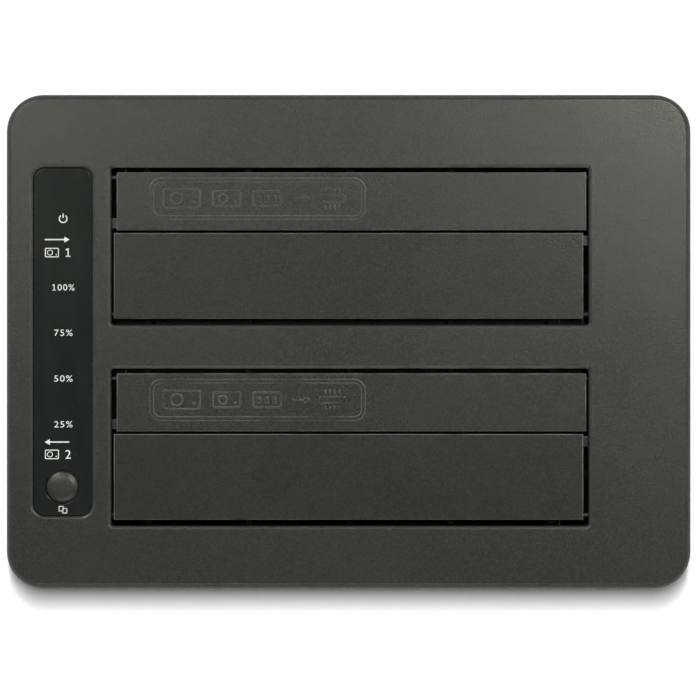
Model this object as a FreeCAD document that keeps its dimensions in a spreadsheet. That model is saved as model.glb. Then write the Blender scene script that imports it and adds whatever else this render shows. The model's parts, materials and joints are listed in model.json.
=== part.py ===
import FreeCAD, Part
import math
import os
import re
import Sketcher
from FreeCAD import Rotation, Vector

# Desktop drive duplicator with two drive bays. Each bay is closed by two sprung flaps.
# Frame: origin on the table under the middle of the case, +X to the right, +Y to the back,
# +Z up. The source bay is the rear one, the target bay the front one. All sizes in mm.

SIZES = {
    # case
    "case_width": 152.8,
    "case_depth": 110.4,
    "corner_radius": 8.4,
    "top_height": 62.0,
    "seam_height": 6.0,
    "floor_height": 2.0,
    "wall": 2.2,
    "top_plate": 2.4,
    "draft_angle": 0.2,
    "rim_chamfer": 0.85,
    "slot_chamfer": 0.5,
    "seat_chamfer": 0.4,
    "root_overlap": 0.4,
    "overcut": 1.0,
    # drive slots in the cover
    "slot_x": 0.3,
    "slot_width": 106.2,
    "slot_depth": 34.9,
    "slot_corner": 0.5,
    "source_slot_y": 21.3,
    "target_slot_y": -23.5,
    # flaps, measured from their hinge axis
    "flap_recess": 0.3,
    "flap_thickness": 2.0,
    "flap_round": 0.25,
    "flap_free_side_gap": 0.45,
    "flap_spring_side_gap": 1.1,
    "narrow_flap_depth": 13.0,
    "wide_flap_depth": 19.2,
    "narrow_hinge_gap": 1.0,
    "wide_hinge_gap": 1.2,
    "hinge_inset": 1.1,
    "hinge_drop": 1.6,
    "barrel_radius": 1.1,
    "pin_radius": 0.5,
    "pin_clearance": 0.05,
    "notch_clearance": 0.02,
    "pin_length": 110.6,
    "pin_chamfer": 0.12,
    "lip_height": 0.8,
    "lip_thickness": 1.2,
    "rib_height": 0.7,
    "rib_thickness": 1.0,
    "rib_pitch": 21.0,
    "rib_offset": 2.0,
    "stop_overlap": 0.8,
    "stop_length": 2.2,
    "stop_edge_gap": 0.6,
    "stop_thickness": 1.3,
    "stop_clearance": 0.1,
    "stop_root": 1.2,
    "border_x": -20.6,
    "border_inset": 5.9,
    "border_width": 48.0,
    "border_depth": 9.2,
    "border_corner": 2.5,
    "border_line": 0.85,
    "border_relief": 0.25,
    "border_root": 0.1,
    # torsion springs on the hinge pins
    "spring_wire": 0.3,
    "spring_coil_radius": 0.7,
    "spring_length": 3.6,
    "spring_end_gap": 1.8,
    "spring_room": 0.7,
    "spring_room_drop": 0.2,
    "spring_room_length": 4.0,
    "spring_room_height": 2.3,
    "spring_leg": 6.0,
    "spring_leg_radius": 0.13,
    "spring_anchor": 4.6,
    # drive wells
    "well_wall": 1.8,
    "well_side_room": 1.2,
    "well_end_room": 0.45,
    "well_floor_height": 22.5,
    "well_floor": 2.0,
    "well_corner": 2.4,
    "well_inner_corner": 0.8,
    "drive_width": 101.6,
    "drive_thickness": 26.1,
    "drive_side_room": 0.4,
    "drive_rear_gap": 3.9,
    "rear_guide_height": 46.0,
    "front_guide_height": 40.0,
    "side_guide_height": 44.0,
    "guide_lead": 5.0,
    "guide_thickness": 1.6,
    "guide_pitch": 23.0,
    "side_guide_pitch": 7.0,
    "ear_thickness": 2.6,
    "ear_inner_gap": 0.15,
    "ear_drop": 3.4,
    "ear_room": 0.3,
    "ear_margin": 0.2,
    "leg_notch_width": 1.0,
    "leg_notch_depth": 0.7,
    "bracket_height": 51.0,
    "bracket_thickness": 2.0,
    "bracket_radius": 2.3,
    "bracket_x": 40.0,
    "inner_bracket_x": 30.0,
    "bracket_margin": 0.4,
    "bracket_screw_radius": 0.95,
    "bracket_screw_depth": 8.0,
    "bracket_screw_grip": 6.0,
    "bracket_screw_head_radius": 2.0,
    "bracket_screw_head_height": 1.3,
    # sockets at the bottom of the wells
    "socket_x": -20.7,
    "socket_rear_gap": 7.0,
    "socket_length": 44.0,
    "socket_width": 5.4,
    "socket_height": 24.6,
    "socket_room": 0.8,
    "socket_corner": 0.6,
    "socket_lead_in": 0.5,
    "guide_notch_inset": 1.1,
    "guide_notch_width": 1.4,
    "guide_notch_depth": 3.0,
    "guide_notch_height": 4.0,
    "signal_inset": 4.2,
    "blade_gap": 2.4,
    "signal_length": 9.6,
    "power_length": 20.2,
    "blade_slot_width": 1.6,
    "key_length": 1.4,
    "key_depth": 1.2,
    "blade_slot_depth": 6.0,
    "contact_pitch": 1.27,
    "contact_width": 0.8,
    "contact_thickness": 0.3,
    "contact_inset": 1.0,
    "contact_drop": 0.8,
    # indicator strip
    "panel_x": -63.7,
    "panel_width": 12.9,
    "panel_length": 77.4,
    "panel_corner": 2.6,
    "panel_thickness": 1.0,
    "panel_recess": 1.2,
    "panel_clearance": 0.1,
    "panel_bevel": 0.15,
    "pipe_radius": 1.0,
    "pipe_hole_radius": 1.05,
    "pipe_gap": 0.2,
    "pipe_tip_gap": 0.05,
    "status_pipe_x": -60.0,
    "power_light_y": 32.2,
    "source_light_y": 21.1,
    "target_light_y": -23.8,
    "progress_light_y": 16.4,
    "progress_pitch": 10.07,
    "board_thickness": 1.6,
    "indicator_board_top": 52.0,
    "indicator_board_width": 13.2,
    "indicator_board_length": 80.0,
    "indicator_boss_x": -59.7,
    "indicator_boss_y": 37.6,
    "indicator_boss_radius": 2.0,
    "indicator_board_corner": 1.0,
    "indicator_screw_depth": 6.5,
    "indicator_screw_grip": 5.0,
    "indicator_screw_head_radius": 1.8,
    "indicator_screw_head_height": 1.2,
    "light_width": 1.6,
    "light_length": 2.4,
    "light_height": 0.9,
    "cable_width": 8.0,
    "cable_thickness": 0.9,
    "cable_drop": 22.0,
    "cable_rise": 12.0,
    "header_width": 4.4,
    "header_length": 9.6,
    "header_height": 2.2,
    "header_offset": 0.45,
    # copy button
    "button_y": -32.3,
    "button_radius": 3.45,
    "button_hole_radius": 3.75,
    "button_top": 62.75,
    "button_edge": 61.95,
    "button_round": 0.3,
    "button_collar_radius": 4.3,
    "button_collar_top": 59.5,
    "button_collar_bottom": 58.2,
    "button_stem_radius": 1.6,
    "button_stem_bottom": 57.0,
    "switch_side": 6.0,
    "switch_corner": 0.4,
    "plunger_room": 0.08,
    "switch_top": 55.5,
    "plunger_radius": 1.75,
    "plunger_bottom": 54.7,
    "plunger_hole_bottom": 54.0,
    # base
    "base_inset": 0.3,
    "base_floor": 2.4,
    "base_edge": 0.8,
    "rim_height": 7.8,
    "rim_thickness": 1.4,
    "rim_clearance": 0.15,
    "post_x": 65.5,
    "post_y": 44.3,
    "post_radius": 4.0,
    "post_top": 14.0,
    "boss_radius": 3.4,
    "boss_rib": 1.2,
    "boss_rib_drop": 4.0,
    "screw_radius": 1.25,
    "screw_hole_radius": 1.3,
    "screw_head_radius": 2.4,
    "screw_head_height": 1.8,
    "screw_seat": 8.0,
    "screw_well_radius": 2.7,
    "screw_length": 12.0,
    "foot_radius": 5.5,
    "foot_recess": 0.4,
    "foot_margin": 0.15,
    "foot_chamfer": 0.6,
    "vent_width": 2.0,
    "vent_length": 26.0,
    "vent_pitch": 6.0,
    "vent_x": 24.0,
    "standoff_radius": 3.0,
    "standoff_hole_depth": 3.2,
    "board_screw_radius": 1.1,
    "board_screw_head_radius": 2.2,
    "board_screw_head_height": 1.4,
    "board_screw_grip": 2.8,
    "screw_margin": 0.05,
    # main board, with its underside at board_height
    "board_height": 6.4,
    "board_width": 121.0,
    "board_depth": 90.0,
    "board_y": 5.5,
    "board_corner": 1.5,
    "body_corner": 0.3,
    "can_radius": 3.15,
    "can_height": 7.7,
    "can_base": 0.9,
    "can_neck": 0.6,
    "can_neck_depth": 0.3,
    "can_chamfer": 0.4,
    "board_screw_x": 55.0,
    "board_screw_front_y": -35.0,
    "board_screw_rear_y": 36.0,
    # ports in the rear wall
    "port_face": 52.2,
    "port_margin": 0.4,
    "usb_x": 6.0,
    "usb_width": 9.6,
    "usb_low_height": 8.4,
    "usb_high_width": 6.8,
    "usb_height": 11.4,
    "usb_shoulder": 1.4,
    "usb_shell": 0.5,
    "usb_depth": 16.0,
    "usb_mouth_depth": 9.5,
    "usb_tongue_width": 5.6,
    "usb_tongue_height": 3.2,
    "usb_tongue_depth": 8.0,
    "usb_small_tongue_width": 4.0,
    "usb_small_tongue_height": 0.9,
    "usb_small_tongue_drop": 2.2,
    "usb_contact_pitch": 1.25,
    "usb_contact_width": 1.0,
    "usb_contact_height": 0.2,
    "usb_small_contact_pitch": 0.8,
    "usb_small_contact_width": 0.4,
    "usb_small_contact_height": 0.16,
    "usb_contact_inset": 1.0,
    "port_corner": 0.6,
    "jack_x": 32.0,
    "jack_width": 9.0,
    "jack_height": 11.0,
    "jack_depth": 14.0,
    "jack_nose": 3.2,
    "jack_nose_radius": 4.1,
    "jack_bore_radius": 2.9,
    "jack_bore_depth": 9.5,
    "jack_pin_radius": 1.05,
    "jack_pin_length": 8.0,
    "jack_pin_taper": 0.5,
    "jack_opening_radius": 4.5,
    "rocker_x": 51.5,
    "rocker_pivot_y": 49.9,
    "rocker_width": 12.0,
    "rocker_height": 7.6,
    "rocker_crown": 3.6,
    "rocker_valley": 2.5,
    "rocker_tilt": 10.4,
    "rocker_axle_radius": 0.9,
    "rocker_axle_length": 9.8,
    "rocker_hole_radius": 0.95,
    "axle_end_gap": 0.1,
    "rocker_shoulder": 0.6,
    "rocker_taper": 0.7,
    "rocker_keel": 1.9,
    "rocker_keel_half": 1.7,
    "rocker_case_width": 15.2,
    "rocker_case_height": 10.8,
    "rocker_case_depth": 11.0,
    "rocker_mouth_width": 13.8,
    "rocker_mouth_height": 8.2,
    "rocker_mouth_depth": 7.0,
}

DOC = FreeCAD.newDocument("drive_duplicator")
SHEET = DOC.addObject("Spreadsheet::Sheet", "Sizes")

# Heights and places that several pieces share, as formulas on the sheet.
PLATE_UNDERSIDE = "(top_height - top_plate)"
FLAP_TOP = "(top_height - flap_recess)"
HINGE_HEIGHT = "(top_height - flap_recess - hinge_drop)"
BASE_TOP = "(floor_height + base_floor)"
BOARD_TOP = "(board_height + board_thickness)"
NARROW_HINGE_Y = "(slot_depth / 2 - narrow_hinge_gap - hinge_inset)"
WIDE_HINGE_Y = "(wide_hinge_gap + hinge_inset - slot_depth / 2)"
WELL_INNER_WIDTH = "(slot_width + 2 * well_side_room)"
WELL_INNER_DEPTH = "(slot_depth + 2 * well_end_room)"
WELL_WIDTH = "(slot_width + 2 * well_side_room + 2 * well_wall)"
WELL_DEPTH = "(slot_depth + 2 * well_end_room + 2 * well_wall)"
BRACKET_Y = f"({WELL_DEPTH} / 2 + bracket_radius + bracket_margin)"
PANEL_BOTTOM = "(top_height - panel_recess)"
BAYS = {"source": "source_slot_y", "target": "target_slot_y"}

# Component bodies on the main board: centre and footprint of each, height, corner and chamfer.
BOARD_BODIES = {
    "bridge_chip": ([("-26", "10", "12", "12")], "1.4", "body_corner", "0.15"),
    "memory_chips": ([("14", "16", "8", "5.2"), ("14", "4", "5.2", "5")], "1.6", "body_corner", None),
    "power_regulators": ([("38", "24", "6.6", "6"), ("38", "-6", "6.6", "6")], "2.2", "body_corner", None),
    "power_chokes": ([("50", "24", "8", "8"), ("50", "-6", "8", "8")], "4.2", "1.6", "0.5"),
    "clock_crystal": ([("-44", "14", "4.4", "11")], "3.4", "2.1", "0.4"),
}
CAPACITOR_PLACES = (("28", "24"), ("28", "14"), ("28", "-6"), ("48", "10"))
LEFT_RIGHT = ("-", "")
HALF_ROUND = 1.0001  # an arc's radius over half the distance it spans, so that its centre can be found
CORNERS = [(sx, sy) for sx in LEFT_RIGHT for sy in LEFT_RIGHT]


def fill_sheet():
    for row, (alias, value) in enumerate(SIZES.items(), start=1):
        SHEET.set(f"A{row}", alias)
        SHEET.set(f"B{row}", str(value))
        SHEET.setAlias(f"B{row}", alias)
    DOC.recompute()


def formula(text):
    """Put the sheet's name before each alias in a formula."""
    return re.sub(r"[a-z_]+", lambda m: f"Sizes.{m[0]}" if m[0] in SIZES else m[0], str(text))


def number(text):
    return float(SHEET.evalExpression(formula(text)))


def new_body(name):
    body = DOC.addObject("PartDesign::Body", name)
    body.Label = name
    return body


def place(piece, x="0", y="0", z="0", turn=None):
    """Put a sub-part where the sheet says; turn is degrees about +Z."""
    if turn:
        piece.Placement.Rotation = Rotation(Vector(0, 0, 1), turn)
    for axis, text in (("x", x), ("y", y), ("z", z)):
        piece.setExpression(f"Placement.Base.{axis}", formula(text))


class Drawing:
    """A sketch on one of a body's own planes. Every size in it is a formula on the sheet."""

    def __init__(self, body, name, plane="XY_Plane", offset="0"):
        self.body = body
        self.sketch = body.newObject("Sketcher::SketchObject", f"{body.Name}_{name}")
        origin_plane = next(f for f in body.Origin.OriginFeatures if f.Role == plane)
        self.sketch.AttachmentSupport = [(origin_plane, "")]
        self.sketch.MapMode = "FlatFace"
        self.sketch.setExpression("AttachmentOffset.Base.z", formula(offset))
        self.bound = 0
        self.waiting = []

    def bind(self, constraint, text):
        self.bound += 1
        constraint.Name = f"size_{self.bound}"
        self.waiting.append((constraint, text))

    def pin(self, element, point, x, y):
        self.bind(Sketcher.Constraint("DistanceX", -1, 1, element, point, number(x)), x)
        self.bind(Sketcher.Constraint("DistanceY", -1, 1, element, point, number(y)), y)

    def constrain(self):
        """Add the waiting constraints together and bind each one to its formula."""
        self.sketch.addConstraint([constraint for constraint, _ in self.waiting])
        for constraint, text in self.waiting:
            if text is not None:
                self.sketch.setExpression(f"Constraints.{constraint.Name}", formula(text))
        self.waiting = []

    def circle(self, x, y, radius):
        centre = Vector(number(x), number(y), 0)
        element = self.sketch.addGeometry(Part.Circle(centre, Vector(0, 0, 1), number(radius)), False)
        self.pin(element, 3, x, y)
        self.bind(Sketcher.Constraint("Radius", element, number(radius)), radius)
        self.constrain()

    def outline(self, corners):
        """Closed outline through corners (x, y). A corner (x, y, radius, "left" or "right")
        starts an arc of that radius which bends that way to the next corner."""
        at = [Vector(number(c[0]), number(c[1]), 0) for c in corners]
        ends = []
        for i, corner in enumerate(corners):
            start, end = at[i], at[(i + 1) % len(at)]
            if len(corner) == 2:
                element = self.sketch.addGeometry(Part.LineSegment(start, end), False)
                ends.append((element, 1, 2))
                continue
            radius = number(corner[2])
            side = 1 if corner[3] == "left" else -1
            chord = end - start
            rise = math.sqrt(radius ** 2 - chord.Length ** 2 / 4)
            normal = Vector(-chord.y, chord.x, 0) * (side * rise / chord.Length)
            centre = (start + end) * 0.5 + normal
            first, last = (start, end) if side == 1 else (end, start)
            angles = [math.atan2(p.y - centre.y, p.x - centre.x) for p in (first, last)]
            arc = Part.ArcOfCircle(Part.Circle(centre, Vector(0, 0, 1), radius), *angles)
            element = self.sketch.addGeometry(arc, False)
            ends.append((element, 1, 2) if side == 1 else (element, 2, 1))
        for i, (element, _, last) in enumerate(ends):
            following, first, _ = ends[(i + 1) % len(ends)]
            joint = Sketcher.Constraint("Coincident", element, last, following, first)
            self.waiting.append((joint, None))
        for i, corner in enumerate(corners):
            self.pin(ends[i][0], ends[i][1], corner[0], corner[1])
            if len(corner) == 4:
                self.bind(Sketcher.Constraint("Radius", ends[i][0], number(corner[2])), corner[2])
        self.constrain()

    def rectangle(self, x, y, width, depth, radius=None):
        """Rectangle about its centre, with rounded corners where a radius is given."""
        left, right = f"{x} - ({width}) / 2", f"{x} + ({width}) / 2"
        low, high = f"{y} - ({depth}) / 2", f"{y} + ({depth}) / 2"
        if radius is None:
            self.outline([(left, low), (right, low), (right, high), (left, high)])
            return
        r = f"({radius})"
        self.outline([
            (f"{left} + {r}", low), (f"{right} - {r}", low, r, "left"),
            (right, f"{low} + {r}"), (right, f"{high} - {r}", r, "left"),
            (f"{right} - {r}", high), (f"{left} + {r}", high, r, "left"),
            (left, f"{high} - {r}"), (left, f"{low} + {r}", r, "left"),
        ])


def settle(feature, body, before, grows):
    """Recompute, and stop if a feature left its body's volume alone or moved it the wrong way."""
    DOC.recompute()
    change = body.Shape.Volume - before
    if abs(change) < 1e-4 or (change > 0) != grows:
        raise ValueError(f"{body.Label}: {feature.Label} changes the volume by {change:.4f}")
    return feature


def volume(body):
    shape = body.Shape
    return 0.0 if shape.isNull() or not shape.Solids else shape.Volume


def extrude(kind, drawing, name, length, back, draft):
    body = drawing.body
    before = volume(body)
    feature = body.newObject(f"PartDesign::{kind}", f"{body.Name}_{name}")
    feature.Profile = drawing.sketch
    feature.Reversed = back
    feature.setExpression("Length", formula(length))
    if draft is not None:
        feature.setExpression("TaperAngle", formula(draft))
    return settle(feature, body, before, kind == "Pad")


def pad(drawing, name, length, back=False, draft=None):
    """Add material along the plane's normal, or against it with back."""
    return extrude("Pad", drawing, name, length, back, draft)


def pocket(drawing, name, length, back=False, draft=None):
    """Cut against the plane's normal, or along it with back."""
    return extrude("Pocket", drawing, name, length, back, draft)


def revolve(drawing, name, grows=True):
    """Turn a profile drawn on XZ about the body's own Z axis."""
    body = drawing.body
    before = volume(body)
    kind = "Revolution" if grows else "Groove"
    feature = body.newObject(f"PartDesign::{kind}", f"{body.Name}_{name}")
    feature.Profile = drawing.sketch
    axis = next(f for f in body.Origin.OriginFeatures if f.Role == "Z_Axis")
    feature.ReferenceAxis = (axis, [""])
    feature.Angle = 360
    return settle(feature, body, before, grows)


def repeat(feature, body, name, axis_role, pitch, count, grows=True):
    """Repeat a feature along one of the body's axes."""
    before = volume(body)
    pattern = body.newObject("PartDesign::LinearPattern", f"{body.Name}_{name}")
    pattern.Originals = [feature]
    axis = next(f for f in body.Origin.OriginFeatures if f.Role == axis_role)
    pattern.Direction = (axis, [""])
    pattern.setExpression("Length", formula(f"{pitch} * {count - 1}"))
    pattern.Occurrences = count
    body.Tip = pattern
    return settle(pattern, body, before, grows)


def edge_names(shape, wanted):
    """Names of the edges whose bounding box passes a test."""
    return [f"Edge{i}" for i, edge in enumerate(shape.Edges, start=1) if wanted(edge.BoundBox)]


def soften(kind, body, name, wanted, size):
    """Fillet or chamfer the edges of the body's last feature that pass a test."""
    base = body.Tip
    before = volume(body)
    names = edge_names(base.Shape, wanted)
    feature = body.newObject(f"PartDesign::{kind}", f"{body.Name}_{name}")
    feature.Base = (base, names)
    feature.setExpression("Radius" if kind == "Fillet" else "Size", formula(size))
    return settle(feature, body, before, False)


def level(height, tolerance=0.02):
    """A test for edges that lie flat at a height."""
    return lambda box: abs(box.ZMin - height) < tolerance and abs(box.ZMax - height) < tolerance


# ---------------------------------------------------------------- case

def light_places():
    """Centres of the seven light pipes: power, source, target and four progress steps."""
    places = [
        ("panel_x", "power_light_y"),
        ("status_pipe_x", "source_light_y"),
        ("status_pipe_x", "target_light_y"),
    ]
    for step in range(4):
        places.append(("panel_x", f"progress_light_y - {step} * progress_pitch"))
    return places


def bracket_places():
    """Screw centres of both wells: two on the outer long side, one between the wells."""
    places = []
    for bay, outward, inner_side in (("source", "+", "-"), ("target", "-", "+")):
        inward = "-" if outward == "+" else "+"
        for sign in LEFT_RIGHT:
            places.append((f"slot_x + {sign}bracket_x", f"{BAYS[bay]} {outward} {BRACKET_Y}"))
        places.append((f"slot_x {inner_side} inner_bracket_x", f"{BAYS[bay]} {inward} {BRACKET_Y}"))
    return places


def hinge_lines():
    """Hinge axis positions, front to back, of the four flaps."""
    return [f"{y} + {hinge}" for y in BAYS.values() for hinge in (NARROW_HINGE_Y, WIDE_HINGE_Y)]


def top_cover():
    body = new_body("top_cover")
    outer = Drawing(body, "outer", offset="seam_height")
    outer.rectangle("0", "0", "case_width", "case_depth", "corner_radius")
    pad(outer, "block", "top_height - seam_height", draft="-draft_angle")
    soften("Chamfer", body, "bevelled_rim", level(number("top_height")), "rim_chamfer")
    inner = Drawing(body, "inner", offset="seam_height")
    inner.rectangle("0", "0", "case_width - 2 * wall", "case_depth - 2 * wall", "corner_radius - wall")
    pocket(inner, "hollow", "top_height - seam_height - top_plate", back=True, draft="-draft_angle")
    cover_slots(body)
    cover_panel_seat(body)
    cover_bosses(body)
    cover_hinge_pockets(body)
    cover_port_openings(body)
    return body


def cover_slots(body):
    slots = Drawing(body, "slots", offset="top_height")
    for y in BAYS.values():
        slots.rectangle("slot_x", y, "slot_width", "slot_depth", "slot_corner")
    pocket(slots, "drive_slots", "top_plate + overcut")
    top, reach = level(number("top_height")), number("slot_width / 2 + overcut")
    depth = number("case_depth / 2 - wall - overcut")
    inside = lambda box: top(box) and abs(box.Center.x) < reach and abs(box.Center.y) < depth
    soften("Chamfer", body, "slot_edges", inside, "slot_chamfer")


def cover_panel_seat(body):
    seat = Drawing(body, "seat", offset="top_height")
    seat.rectangle("panel_x", "0", "panel_width + 2 * panel_clearance",
                   "panel_length + 2 * panel_clearance", "panel_corner + panel_clearance")
    pocket(seat, "panel_seat", "panel_recess")
    top, centre, margin = level(number("top_height")), number("panel_x"), number("overcut")
    width, length = number("panel_width"), number("panel_length")
    rim = lambda box: (top(box) and abs(box.Center.x - centre) < width / 2 + margin
                       and abs(box.Center.y) < length / 2 + margin)
    soften("Chamfer", body, "seat_edges", rim, "seat_chamfer")
    holes = Drawing(body, "holes", offset="top_height")
    for x, y in light_places():
        holes.circle(x, y, "pipe_hole_radius")
    holes.circle("panel_x", "button_y", "button_hole_radius")
    pocket(holes, "panel_holes", "top_plate + overcut")


def cover_bosses(body):
    """Corner bosses with web ribs, brackets' bosses and the indicator board's bosses."""
    corner = Drawing(body, "corner", offset="post_top")
    for sx, sy in CORNERS:
        corner.circle(f"{sx}post_x", f"{sy}post_y", "boss_radius")
    pad(corner, "corner_bosses", f"{PLATE_UNDERSIDE} - post_top + root_overlap")
    ribs = Drawing(body, "ribs", offset="post_top + boss_rib_drop")
    reach = "(case_width / 2 - post_x - wall / 2 - boss_radius / 2)"
    for sx, sy in CORNERS:
        ribs.rectangle(f"{sx}(post_x + boss_radius / 2 + {reach} / 2)", f"{sy}post_y", reach, "boss_rib")
        ribs.rectangle(f"{sx}post_x", f"{sy}(post_y + boss_radius / 2 + {reach} / 2)", "boss_rib", reach)
    pad(ribs, "corner_ribs", f"{PLATE_UNDERSIDE} - post_top - boss_rib_drop + root_overlap")
    small = Drawing(body, "small", offset="bracket_height")
    for x, y in bracket_places():
        small.circle(x, y, "bracket_radius")
    pad(small, "bracket_bosses", f"{PLATE_UNDERSIDE} - bracket_height + root_overlap")
    board = Drawing(body, "board", offset="indicator_board_top")
    for sign in LEFT_RIGHT:
        board.circle("indicator_boss_x", f"{sign}indicator_boss_y", "indicator_boss_radius")
    pad(board, "indicator_bosses", f"{PLATE_UNDERSIDE} - indicator_board_top + root_overlap")
    corner_holes = Drawing(body, "corner_holes", offset="post_top")
    for sx, sy in CORNERS:
        corner_holes.circle(f"{sx}post_x", f"{sy}post_y", "screw_hole_radius")
    pocket(corner_holes, "corner_screw_holes", "screw_length", back=True)
    bracket_holes = Drawing(body, "bracket_holes", offset="bracket_height")
    for x, y in bracket_places():
        bracket_holes.circle(x, y, "bracket_screw_radius")
    pocket(bracket_holes, "bracket_screw_holes", "bracket_screw_depth", back=True)
    board_holes = Drawing(body, "board_holes", offset="indicator_board_top")
    for sign in LEFT_RIGHT:
        board_holes.circle("indicator_boss_x", f"{sign}indicator_boss_y", "bracket_screw_radius")
    pocket(board_holes, "indicator_screw_holes", "indicator_screw_depth", back=True)


def cover_hinge_pockets(body):
    """Pockets in the plate's underside that close the wells' pin notches from above."""
    ears = Drawing(body, "ears", offset=PLATE_UNDERSIDE)
    width = "(ear_inner_gap + ear_thickness + 2 * ear_room)"
    for y in hinge_lines():
        for sign in LEFT_RIGHT:
            ears.rectangle(f"slot_x + {sign}(slot_width / 2 + {width} / 2)", y, width,
                           "2 * (barrel_radius + ear_room + ear_margin)")
    pocket(ears, "hinge_pockets", f"{HINGE_HEIGHT} + pin_radius + ear_margin - {PLATE_UNDERSIDE}", back=True)


def cover_port_openings(body):
    ports = Drawing(body, "ports", "XZ_Plane", "-(case_depth / 2 + overcut)")
    ports.rectangle("usb_x", f"{BOARD_TOP} + usb_height / 2 + usb_shell",
                    "usb_width + 2 * usb_shell + 2 * port_margin",
                    "usb_height + 2 * usb_shell", "port_corner")
    ports.circle("jack_x", f"{BOARD_TOP} + jack_height / 2", "jack_opening_radius")
    ports.rectangle("rocker_x", f"{BOARD_TOP} + rocker_case_height / 2",
                    "rocker_mouth_width + port_margin", "rocker_mouth_height + port_margin",
                    "port_corner")
    pocket(ports, "port_openings", "wall + 2 * overcut", back=True)


def base_tray():
    body = new_body("base_tray")
    floor = Drawing(body, "floor", offset="floor_height")
    floor.rectangle("0", "0", "case_width - 2 * base_inset", "case_depth - 2 * base_inset",
                    "corner_radius - base_inset")
    pad(floor, "plate", "seam_height - floor_height")
    soften("Chamfer", body, "lower_edge", level(number("floor_height")), "base_edge")
    inset = "(wall + rim_clearance)"
    rim = Drawing(body, "rim", offset="seam_height")
    rim.rectangle("0", "0", f"case_width - 2 * {inset}", f"case_depth - 2 * {inset}",
                  f"corner_radius - {inset}")
    pad(rim, "locating_rim", "rim_height - seam_height")
    inset = "(wall + rim_clearance + rim_thickness)"
    tray = Drawing(body, "tray", offset="rim_height")
    tray.rectangle("0", "0", f"case_width - 2 * {inset}", f"case_depth - 2 * {inset}",
                   f"corner_radius - {inset}")
    pocket(tray, "tray_hollow", f"rim_height - {BASE_TOP}")
    base_posts(body)
    base_underside(body)
    return body


def board_screw_places():
    return [(f"{sx}board_screw_x", y) for sx in LEFT_RIGHT
            for y in ("board_screw_front_y", "board_screw_rear_y")]


def base_posts(body):
    posts = Drawing(body, "posts", offset=BASE_TOP)
    for sx, sy in CORNERS:
        posts.circle(f"{sx}post_x", f"{sy}post_y", "post_radius")
    pad(posts, "screw_posts", f"post_top - {BASE_TOP}")
    standoffs = Drawing(body, "standoffs", offset=BASE_TOP)
    for x, y in board_screw_places():
        standoffs.circle(x, y, "standoff_radius")
    pad(standoffs, "board_standoffs", f"board_height - {BASE_TOP}")
    holes = Drawing(body, "standoff_holes", offset="board_height")
    for x, y in board_screw_places():
        holes.circle(x, y, "board_screw_radius + screw_margin")
    pocket(holes, "standoff_screw_holes", "standoff_hole_depth")


def base_underside(body):
    """Foot recesses with the case screws' wells in them, and the vent slots."""
    for name, radius, depth in (
        ("foot_seats", "foot_radius + foot_margin", "foot_recess"),
        ("screw_wells", "screw_well_radius", "screw_seat - floor_height"),
        ("screw_ways", "screw_hole_radius", "post_top - floor_height + overcut"),
    ):
        drawing = Drawing(body, name, offset="floor_height")
        for sx, sy in CORNERS:
            drawing.circle(f"{sx}post_x", f"{sy}post_y", radius)
        pocket(drawing, f"{name}_cut", depth, back=True)
    vents = Drawing(body, "vents", offset="floor_height")
    for sign in LEFT_RIGHT:
        vents.rectangle(f"{sign}vent_x", "-3 * vent_pitch", "vent_length", "vent_width")
    first = pocket(vents, "first_vents", "base_floor + overcut", back=True)
    repeat(first, body, "vent_rows", "Y_Axis", "vent_pitch", 7, grows=False)


def rubber_feet():
    body = new_body("rubber_feet")
    discs = Drawing(body, "discs")
    for sx, sy in CORNERS:
        discs.circle(f"{sx}post_x", f"{sy}post_y", "foot_radius")
    pad(discs, "pads", "floor_height + foot_recess")
    soften("Chamfer", body, "lower_edges", level(0.0), "foot_chamfer")
    return body


def screws(name, places, head_radius, head_height, radius, length, seat, upward):
    """A group of equal screws whose heads bear on a seat height."""
    body = new_body(name)
    heads = Drawing(body, "heads", offset=seat)
    for x, y in places:
        heads.circle(x, y, head_radius)
    pad(heads, "head", head_height, back=upward)
    shanks = Drawing(body, "shanks", offset=seat)
    for x, y in places:
        shanks.circle(x, y, radius)
    pad(shanks, "shank", length, back=not upward)
    return body


# ---------------------------------------------------------------- bays

def drive_well(bay, outward, inner_side):
    """Moulded well that guides a drive, carries two hinge pins and hangs from the cover."""
    body = new_body(f"{bay}_drive_well")
    block = Drawing(body, "block", offset="well_floor_height - well_floor")
    block.rectangle("0", "0", WELL_WIDTH, WELL_DEPTH, "well_corner")
    pad(block, "outer_block", f"{PLATE_UNDERSIDE} - well_floor_height + well_floor")
    hollow = Drawing(body, "hollow", offset=PLATE_UNDERSIDE)
    hollow.rectangle("0", "0", WELL_INNER_WIDTH, WELL_INNER_DEPTH, "well_inner_corner")
    pocket(hollow, "inner_hollow", f"{PLATE_UNDERSIDE} - well_floor_height")
    window = Drawing(body, "window", offset="well_floor_height")
    window.rectangle("socket_x", "slot_depth / 2 - socket_rear_gap", "socket_length + 2 * socket_room",
                     "socket_width + 2 * socket_room", "well_inner_corner")
    pocket(window, "socket_window", "well_floor + overcut")
    well_guides(body)
    well_hinge_ears(body)
    well_brackets(body, outward, inner_side)
    place(body, "slot_x", BAYS[bay])
    return body


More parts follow.
